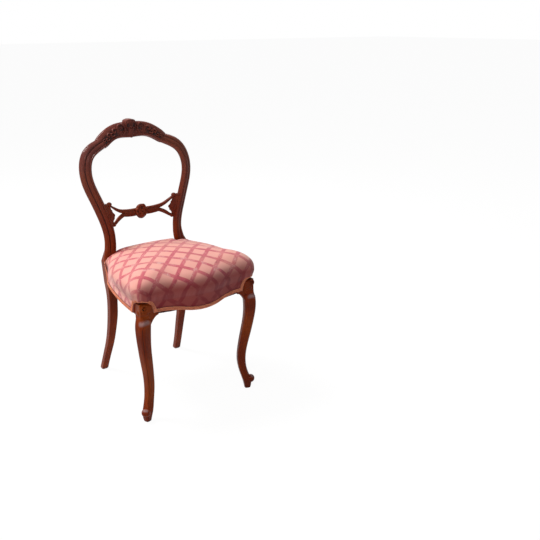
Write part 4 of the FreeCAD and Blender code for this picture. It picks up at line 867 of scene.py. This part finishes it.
def makeMidRail():
    # Stretch, upper and lower arm as ribbons, a curl at each arm's end, and a scalloped leaf by the stile.
    stretch = ribbon(*midRail["stretch"], (14, 13, 13, 12), 70, 0.8)
    upper = ribbon(*midRail["upper"], (13, 12.5, 12, 12, 12), 80, 0.7)
    lower = ribbon(*midRail["lower"], (13, 12.5, 12, 12, 11), 80, 0.6)
    curlUp = blob((118.0, midRailY(118.0, 611) - 1.0, 610.5), (9.0, 8.0, 7.5))
    curlLow = blob((106.0, midRailY(106.0, 541) - 1.0, 541.0), (6.0, 7.5, 6.5))
    z = np.linspace(544, 606, 60)[:, None]
    share = np.linspace(0, 1, 24)[None, :]
    outer = np.interp(z, (544, 571, 606), (122, 130, 142))
    wave = 2.2 * np.abs(np.sin((z - 546) / 57 * math.pi * 4.0)) * smoothStep(600, 590, z) * smoothStep(546, 553, z)
    tip = np.interp(z, (544, 556, 570.5, 585, 606), (108, 103, 95.5, 105, 117)) + wave
    x = tip + (outer - tip) * share
    plump = np.sqrt(np.clip(1 - (1 - share) ** 3, 0.02, 1))
    thick = 4.5 * plump + 0.8 * np.sin(share * 9 + z * 0.16)
    base = midRailY(np.minimum(x, 140), z)
    frontFace = stacked(x, base - thick, z)
    backFace = stacked(x, base + 4.0 * plump, z)[:, ::-1]
    leaf = closedTube(np.concatenate([frontFace, backFace], 1))
    return [stretch, upper, lower, curlUp, curlLow, leaf]


def makeBoss():
    # Leafy ball: a crown of lobes above, a pearl, and a scalloped bud that hangs below.
    centre = np.array([0.0, 136.0, 568.5])
    polar = np.linspace(0.01, math.pi - 0.01, 60)[:, None]
    turn = np.linspace(0, 2 * math.pi, 120, endpoint=False)[None, :]
    lobes = 1 + 0.09 * np.cos(7 * (turn - math.pi / 2)) * np.sin(polar) ** 0.5
    side = np.sin(polar) * lobes
    points = stacked(20.0 * side * np.cos(turn), 12.5 * side * np.sin(turn), 25.0 * np.cos(polar))
    # Painted shade in the dips between the lobes.
    ball = closedTube(points + centre, -1.3 * smoothStep(1.0, 0.93, lobes))
    pearl = blob((0, 124.0, 575.0), (5.2, 5.0, 5.2))
    bud = blob((0, 125.5, 560.0), (6.5, 6.0, 10.0))
    leaves = [blob((way * x, 129.5, z), (5.0, 6.0, 8.5), way * lean) for way in (1, -1)
              for x, z, lean in ((8.5, 587.5, 0.7), (15.0, 578.0, 1.2), (13.0, 562.0, -0.6))]
    crown = blob((0, 130.0, 589.0), (5.0, 6.0, 6.0))
    return [ball, pearl, bud, crown] + leaves


railParts = makeMidRail()
railParts = railParts + [mirrored(p) for p in railParts] + makeBoss()
meshPiece("midRail", railParts, mahogany, ("mid_rail",))


# Seat

seat = {"frontY": -258.0, "fall": 27.0, "half": 163.5, "sweep": 0.42, "cornerY": -203.5,
        "sides": ((201, -197.5), (188, -60), (154, 95)), "back": ((116.5, 124), (0, 134), (-116.5, 124)),
        "notch": ((158.0, 91.5), (155.0, 94.4), (149.0, 94.7), (126.0, 94.7), (118.6, 95.2),
                  (116.2, 98.0), (115.0, 112.0), (113.0, 121.5), (107.0, 125.0)),
        "wall": 1.7, "bulge": (13.0, 15.0), "bulgeZ": 424.0, "crown": 68.4, "columns": 720,
        "centre": (0.0, -60.0), "liningZ": 393.5}


def circleThrough(a, b, c):
    # Centre and radius of the circle through three points.
    a, b, c = (np.asarray(p, float) for p in (a, b, c))
    system = 2 * np.array([b - a, c - a])
    centre = np.linalg.solve(system, [b @ b - a @ a, c @ c - a @ a])
    return centre, math.hypot(*(a - centre))


sideCircle, sideRadius = circleThrough(*seat["sides"])
backCircle, backRadius = circleThrough(*seat["back"])


def sweepFall(x, half, fall):
    # Two tangent arcs: near the middle one bows forward, and beyond it the other swings back level.
    angle = 2 * math.atan2(fall, half)
    total = half / math.sin(angle)
    near, far = seat["sweep"] * total, (1 - seat["sweep"]) * total
    x = np.minimum(np.abs(x), half)
    inner = near - np.sqrt(near ** 2 - np.minimum(x, near) ** 2)
    outer = fall - far + np.sqrt(far ** 2 - (half - x) ** 2)
    return np.where(x <= near * math.sin(angle), inner, outer)


def frontY(x):
    return seat["frontY"] + sweepFall(x, seat["half"], seat["fall"])


def apronZ(x):
    knee = seat["half"] - 26
    return 346 + sweepFall(x, knee, 14.0)


def sideX(y):
    return sideCircle[0] + np.sqrt(sideRadius ** 2 - (y - sideCircle[1]) ** 2)


def backY(x):
    return backCircle[1] + np.sqrt(backRadius ** 2 - x ** 2)


def wallLine(count):
    # Closed line in plan on the frame's outer faces, from the middle of the front round to the left:
    # serpentine front, round corner at the front leg, bowed side, notch at the stile, bowed back.
    half, cornerY = seat["half"], seat["cornerY"]
    x = np.linspace(0, half, 90)
    front = np.stack([x, frontY(x)], 1)
    turn = np.linspace(0, math.pi / 2, 60)[1:]
    corner = np.stack([half + (sideX(cornerY) - half) * np.sin(turn) ** 0.8,
                       cornerY - (cornerY - frontY(half)) * np.cos(turn) ** 0.8], 1)
    y = np.linspace(cornerY, 86.0, 120)[1:]
    side = np.stack([sideX(y), y], 1)
    x = np.linspace(104.0, 0, 50)
    back = np.stack([x, backY(x)], 1)
    right = np.vstack([front, corner, side, seat["notch"], back])
    line = np.vstack([right, (right * [-1, 1])[-2:0:-1], right[:1]])
    run = lengths(line)
    at = np.linspace(0, run[-1], count, endpoint=False)
    fine = np.stack([np.interp(at, run, line[:, k]) for k in range(2)], 1)
    kernel = np.array([1, 2, 3, 2, 1]) / 9
    for k in range(2):
        padded = np.concatenate([fine[-2:, k], fine[:, k], fine[:2, k]])
        fine[:, k] = np.convolve(padded, kernel, "valid")
    return fine, at


wall, wallRun = wallLine(seat["columns"])
wallTangent = unit(np.roll(wall, -1, 0) - np.roll(wall, 1, 0))
wallNormal = np.stack([wallTangent[:, 1], -wallTangent[:, 0]], 1)
inNotch = smoothStep(4, 10, np.abs(wall[:, 0]) - 105) * smoothStep(84, 93, wall[:, 1])
frontShare = smoothStep(-150, -215, wall[:, 1])
cornerShare = smoothStep(-120, -190, wall[:, 1]) * smoothStep(90, 170, np.abs(wall[:, 0]))


def edgeLine():
    # Height of the cover's cut edge along the wall: the apron's curve in front, an arch over each
    # front leg, the rails' lower edge at the sides, and a climb up each side of the stile.
    x, y = np.abs(wall[:, 0]), wall[:, 1]
    z = np.where((y < -150) & (x < seat["half"]), apronZ(np.minimum(x, 137.0)) - 0.5, 357.5)
    away = np.minimum(wallRun, wallRun[-1] + wallRun[1] - wallRun)
    start = away[np.argmin(np.abs(x - 160) + (y > -200) * 999)]
    end = away[np.argmin(np.abs(y + 195) + (x < 150) * 999)]
    middle, half = (start + end) / 2, (end - start) / 2 + 3
    t = np.clip(np.abs(away - middle) / half, 0, 1)
    arch = 359 + 39 * (1 - t ** 2.6) ** 0.55
    z = np.maximum(z, np.where(np.abs(away - middle) < half, arch, 0))
    return z + 65 * inNotch, away - middle


coverEdge, fromLeg = edgeLine()


def swell(z):
    # Sideways swelling of the seat with height: flat against the rails, then out to the bulge.
    t = np.clip((z - 392) / (seat["bulgeZ"] - 392), 0, 1)
    return np.sin(t * math.pi / 2) ** 1.15


def wallPoint(height, proud=0.0):
    # Points on the seat's wall at a height for each column.
    bulge = seat["bulge"][0] + (seat["bulge"][1] - seat["bulge"][0]) * frontShare
    bulge = bulge - 3.5 * smoothStep(-110, -170, wall[:, 1]) * smoothStep(-240, -205, wall[:, 1])
    bulge = bulge - 15.0 * smoothStep(-60, 92, wall[:, 1]) * (np.abs(wall[:, 0]) > 113) * (1 - inNotch)
    out = seat["wall"] + (bulge - seat["wall"]) * swell(height) * (1 - inNotch) + proud
    out = out - 1.4 * inNotch
    plan = wall + wallNormal * out[..., None]
    return np.concatenate([plan, height[..., None] * np.ones_like(plan[..., :1])], -1)


def folds(z):
    # Soft pulls: upright folds low on the wall by each front leg, and slower ripples along the sides.
    pulls = np.sin(fromLeg * 0.33 + 0.6 * np.sin(fromLeg * 0.11)) * np.exp(-(fromLeg / 46) ** 2)
    ripple = np.sin(fromLeg * 0.19 + 1.0) * smoothStep(18, 50, fromLeg) * smoothStep(130, 70, fromLeg)
    return pulls * np.exp(-((z - 405) / 26) ** 2) + 0.6 * ripple * np.exp(-((z - 398) / 24) ** 2)


def makeCushion():
    # Wall rings rise from the cut edge to the bulge, then rings close in on the crown as
    # height = crown x sine of the angle to the power 0.909, and an inner skin closes the shell.
    rings = []
    upTo = np.full(len(wall), seat["bulgeZ"])
    for t in np.linspace(0, 1, 26):
        height = coverEdge + (upTo - coverEdge) * t
        rings.append(wallPoint(height))
    rim = wallPoint(upTo)
    centre = np.array(seat["centre"])
    angles = np.linspace(0, math.pi / 2, 62)[1:]
    for angle in angles:
        shrink, rise = math.cos(angle), math.sin(angle)
        plan = centre + (rim[:, :2] - centre) * max(shrink, 1e-4)
        height = seat["bulgeZ"] + seat["crown"] * rise ** (0.909 - 0.13 * frontShare)
        height = height + 6.0 * bump(shrink, 0.86, 0.28) * cornerShare - 0.013 * (plan[:, 1] + 60) * rise
        rings.append(np.concatenate([plan, height[:, None]], 1))
    outer = np.stack(rings)
    outer[..., :2] += wallNormal * folds(outer[..., 2])[..., None]
    move = np.diff(outer, axis=0)
    extra = np.linalg.norm(move, axis=-1) - np.linalg.norm(move[..., :2], axis=-1)
    extra = np.concatenate([np.cumsum(extra[::-1], 0)[::-1], np.zeros((1, len(wall)))])
    ahead = (np.abs(wallNormal[:, 1]) > np.abs(wallNormal[:, 0]) * 0.8)[:, None]
    square = np.sign(wallNormal) * np.concatenate([~ahead, ahead], 1)
    spread = np.ones(41) / 41
    hang = np.stack([np.convolve(np.concatenate([square[-20:, k], square[:, k], square[:20, k]]), spread, "valid")
                     for k in range(2)], 1)
    uv = outer[..., :2] + unit(hang)[None] * extra[..., None]
    uv = np.concatenate([uv, uv[:, :1]], 1)
    skin = gridPart(outer[:-1], uv[:-1], wrap=True)
    tip = len(skin["points"])
    ring = np.arange(len(wall)) + (len(rings) - 2) * len(wall)
    cap = np.stack([ring, np.roll(ring, -1), np.full(len(wall), tip)], 1)
    skin["points"] = np.vstack([skin["points"], outer[-1].mean(0)])
    capUv = np.stack([uv[-2, :-1], uv[-2, 1:], np.broadcast_to(centre, (len(wall), 2))], 1)
    skin["tris"], skin["triUv"] = cap, capUv
    level = seat["liningZ"]
    top = np.maximum(coverEdge, level)
    inner = [wallPoint(coverEdge + (top - coverEdge) * t, -1.5) for t in np.linspace(0, 1, 8)]
    for shrink in np.linspace(1, 0.002, 16)[1:]:
        plan = centre + (inner[7][:, :2] - centre) * shrink
        lifted = level + (top - level) * shrink ** 6 + 62 * (1 - shrink ** 2) * smoothStep(1.0, 0.6, shrink)
        inner.append(np.concatenate([plan, lifted[:, None]], 1))
    inner = np.stack(inner)
    innerUv = np.zeros((len(inner), len(wall) + 1, 2))
    lining = gridPart(inner, innerUv, wrap=True)
    lining["quads"] = lining["quads"][:, ::-1]
    return skin, lining


def joinShell(skin, lining):
    # One closed mesh: the skin, its lining turned inside, and the lip between them. Its level is the share of
    # darker cloth, partly unfaded and partly painted shade: whole on the front face and half on the left side.
    offset = len(skin["points"])
    points = np.vstack([skin["points"], lining["points"]])
    cols = len(wall)
    base = np.arange(cols)
    lip = np.stack([base, base + offset, (base + 1) % cols + offset, (base + 1) % cols], 1)
    quads = np.vstack([skin["quads"], lining["quads"] + offset, lip])
    quadUv = np.concatenate([skin["quadUv"], lining["quadUv"], np.zeros((cols, 4, 2))])
    x, y, z = points.T
    front = smoothStep(468, 422, z) * smoothStep(-206, -236, y) * smoothStep(212, 190, -x)
    side = smoothStep(455, 410, z) * smoothStep(-190, -214, x) * 0.5
    return {"points": points, "quads": quads, "quadUv": quadUv, "tris": skin["tris"], "triUv": skin["triUv"],
            "relief": np.maximum(front, side)}


cushionShell = joinShell(*makeCushion())
cushion = meshPiece("seatCushion", [cushionShell], damask,
                    ("seat_cover", "wadding", "hair_stuffing", "spring_canvas"), sharp=80)


braid = {"cords": ((3.2, 0.0), (8.8, 1.6)), "swing": 2.1, "wave": 8.0, "radius": 1.0, "proud": 2.2,
         "ground": ((0, 0.1), (0, 0.9), (3, 1.3), (6, 1.0), (9, 1.3), (12, 0.9), (12, 0.1), (6, -0.3))}


def edgeAxes(columns):
    # The cover's cut edge over some columns, with the directions out of the wall and up along it.
    base = wallPoint(coverEdge)[columns]
    normal = np.concatenate([wallNormal[columns], np.zeros((len(columns), 1))], 1)
    up = unit(np.cross(normal, unit(np.gradient(base, axis=0))))
    return base, normal, up * np.where(up[:, 2:3] < 0, -1, 1)


def braidStrand(columns, middle, phase):
    # Cord that weaves from side to side of the braid while it rises and dips over its neighbours.
    axes = edgeAxes(columns)
    length = lengths(axes[0])
    fine = np.linspace(0, length[-1], int(length[-1] / 0.9))
    base, normal, up = (np.stack([np.interp(fine, length, line[:, k]) for k in range(3)], 1) for line in axes)
    across = middle + braid["swing"] * np.sin(2 * math.pi * fine / braid["wave"] + phase)
    rise = braid["proud"] + 0.75 * np.cos(4 * math.pi * fine / braid["wave"] + 2 * phase)
    return tube(base + unit(up) * across[:, None] + unit(normal) * rise[:, None], braid["radius"], 6)


def braidStrip(columns):
    # Ground of the braid: a shallow double ridge carried along the cut edge, its dark red partly the cloth beneath
    # and partly painted shade in the gaps between the cords.
    base, normal, up = edgeAxes(columns)
    return closedTube(np.stack([base + up * across + normal * out for across, out in braid["ground"]], 1))


def runOf(keep):
    # Columns of the wall under one length of braid, in order from one stile to the other.
    columns = np.arange(len(wall))
    if keep == "front":
        columns = np.roll(columns, -(len(wall) // 2))
    y = wall[columns, 1]
    return columns[y < 94.2 if keep == "front" else y > 96.5]


for keep in ("front", "back"):
    columns = runOf(keep)
    cords = [braidStrand(columns, middle, phase + turn) for middle, turn in braid["cords"] for phase in (0, math.pi)]
    meshPiece("braidCords_" + keep, cords, braidCord, ("gimp_" + keep,), sharp=80)
    meshPiece("braidGround_" + keep, [braidStrip(columns)], braidGroundAndGapShade, (), sharp=80)


def makeBottomCloth():
    # Cloth under the webbing: its sag is a product of two half cosines, each to a power below one.
    x, y = np.linspace(-1, 1, 80)[None, :], np.linspace(-1, 1, 90)[:, None]
    depths = np.linspace(-236, 126, 90)[:, None]
    side = sideX(np.clip(depths, -196, 93)) - 3.0
    side = np.where(depths < -196, 160.0, np.where(depths > 93, 113.0, side))
    across = side * x
    plan = np.clip(depths, frontY(across) + 10.0, backY(np.clip(across, -113, 113)) - 3.0)
    droop = [np.clip(np.cos(t * math.pi / 2), 0, 1) for t in (x, y)]
    return gridPart(stacked(across, plan, 353.6 - 18.0 * droop[0] ** 0.5 * droop[1] ** 0.4), stacked(across, plan))


bottom = meshPiece("dustCover", [makeBottomCloth()], dustCloth, ("bottom_cloth",),
                   sharp=80, solid=False)
thick = bottom.modifiers.new("thickness", "SOLIDIFY")
thick.thickness, thick.offset = 0.0008, 0


# Stage, lights and camera

view = {"focal": 728.7119, "centre": (-350.539264, 2523.01883, -375.308799), "yaw": 0.626357798,
        "pitch": 0.330002290, "roll": 0.00341804973}


def makeCamera():
    cy, sy = math.cos(view["yaw"]), math.sin(view["yaw"])
    cp, sp = math.cos(view["pitch"]), math.sin(view["pitch"])
    cr, sr = math.cos(view["roll"]), math.sin(view["roll"])
    yaw = np.array([[cy, -sy, 0], [sy, cy, 0], [0, 0, 1]])
    pitch = np.array([[1, 0, 0], [0, cp, -sp], [0, sp, cp]])
    roll = np.array([[cr, 0, -sr], [0, 1, 0], [sr, 0, cr]])
    turn = roll @ pitch @ yaw
    centre = -turn.T @ np.array(view["centre"]) + [0, depthShift, 0]
    camera = bpy.data.cameras.new("camera")
    camera.lens = view["focal"] / 540 * 36
    camera.sensor_width = 36
    camera.clip_start, camera.clip_end = 0.05, 60
    eye = bpy.data.objects.new("camera", camera)
    bpy.context.scene.collection.objects.link(eye)
    axes = np.stack([turn[0], turn[2], -turn[1]], 1)
    matrix = Matrix(axes.tolist()).to_4x4()
    matrix.translation = Vector((centre / 1000).tolist())
    eye.matrix_world = matrix
    bpy.context.scene.camera = eye


def whiteToCamera(name, colour, toCamera, rough):
    # Plain surface that a camera, glossy or clear ray sees as white light of a set strength.
    material, tree = newMaterial(name)
    seen = node(tree, "ShaderNodeLightPath", output=0)
    for ray in (3, 6):
        seen = seen.maths("MAXIMUM", node(tree, "ShaderNodeLightPath", output=ray))
    matt = node(tree, "ShaderNodeBsdfDiffuse", None, {"Color": (*colour, 1), "Roughness": rough})
    glow = node(tree, "ShaderNodeEmission", None, {"Color": (1, 1, 1, 1), "Strength": 1.06})
    made = node(tree, "ShaderNodeMixShader", None, {0: seen * toCamera, 1: matt, 2: glow})
    node(tree, "ShaderNodeOutputMaterial", None, {0: made})
    return material


def makeStage():
    mesh = bpy.data.meshes.new("floor")
    size = 40.0
    mesh.from_pydata([(-size, -size, 0), (size, -size, 0), (size, size, 0), (-size, size, 0)], [], [(0, 1, 2, 3)])
    mesh.materials.append(whiteToCamera("paleFloor", (0.8, 0.8, 0.8), 0.9, 0.5))
    floor = bpy.data.objects.new("floor", mesh)
    bpy.context.scene.collection.objects.link(floor)


def softLamp(name, location, target, size, power, colour=(1, 1, 1)):
    lamp = bpy.data.lights.new(name, "AREA")
    lamp.shape, lamp.size, lamp.energy, lamp.color = "DISK", size, power, colour
    thing = bpy.data.objects.new(name, lamp)
    bpy.context.scene.collection.objects.link(thing)
    thing.location = location
    thing.rotation_mode = "QUATERNION"
    thing.rotation_quaternion = (Vector(target) - Vector(location)).to_track_quat("-Z", "Y")


def makeWorld():
    world = bpy.data.worlds.new("paleRoom")
    bpy.context.scene.world = world
    world.use_nodes = True
    tree = world.node_tree
    tree.nodes.clear()
    seen = node(tree, "ShaderNodeLightPath", output=0)
    for ray in (3, 6):
        seen = seen.maths("MAXIMUM", node(tree, "ShaderNodeLightPath", output=ray))
    soft = node(tree, "ShaderNodeBackground", None, {"Color": (0.95, 0.97, 1, 1), "Strength": 0.17})
    white = node(tree, "ShaderNodeBackground", None, {"Color": (1, 1, 1, 1), "Strength": 1.0})
    made = node(tree, "ShaderNodeMixShader", None, {0: seen, 1: soft, 2: white})
    node(tree, "ShaderNodeOutputWorld", None, {0: made})


makeCamera()
makeStage()
makeWorld()
softLamp("keyLamp", (-1.25, 1.2, 3.2), (0, 0, 0.45), 1.3, 104, (1.0, 0.98, 0.95))
softLamp("fillLamp", (-3.2, -0.9, 1.5), (0, 0, 0.4), 1.6, 18, (1.0, 0.9, 0.8))
softLamp("skyLamp", (-1.4, -2.2, 3.4), (0, 0, 0.4), 0.9, 18, (1.0, 0.93, 0.9))
softLamp("backLamp", (1.6, 2.2, 2.2), (0, 0, 0.6), 1.4, 16, (0.92, 0.96, 1.0))
bpy.context.scene.view_settings.view_transform = "Standard"
print("stage ready")
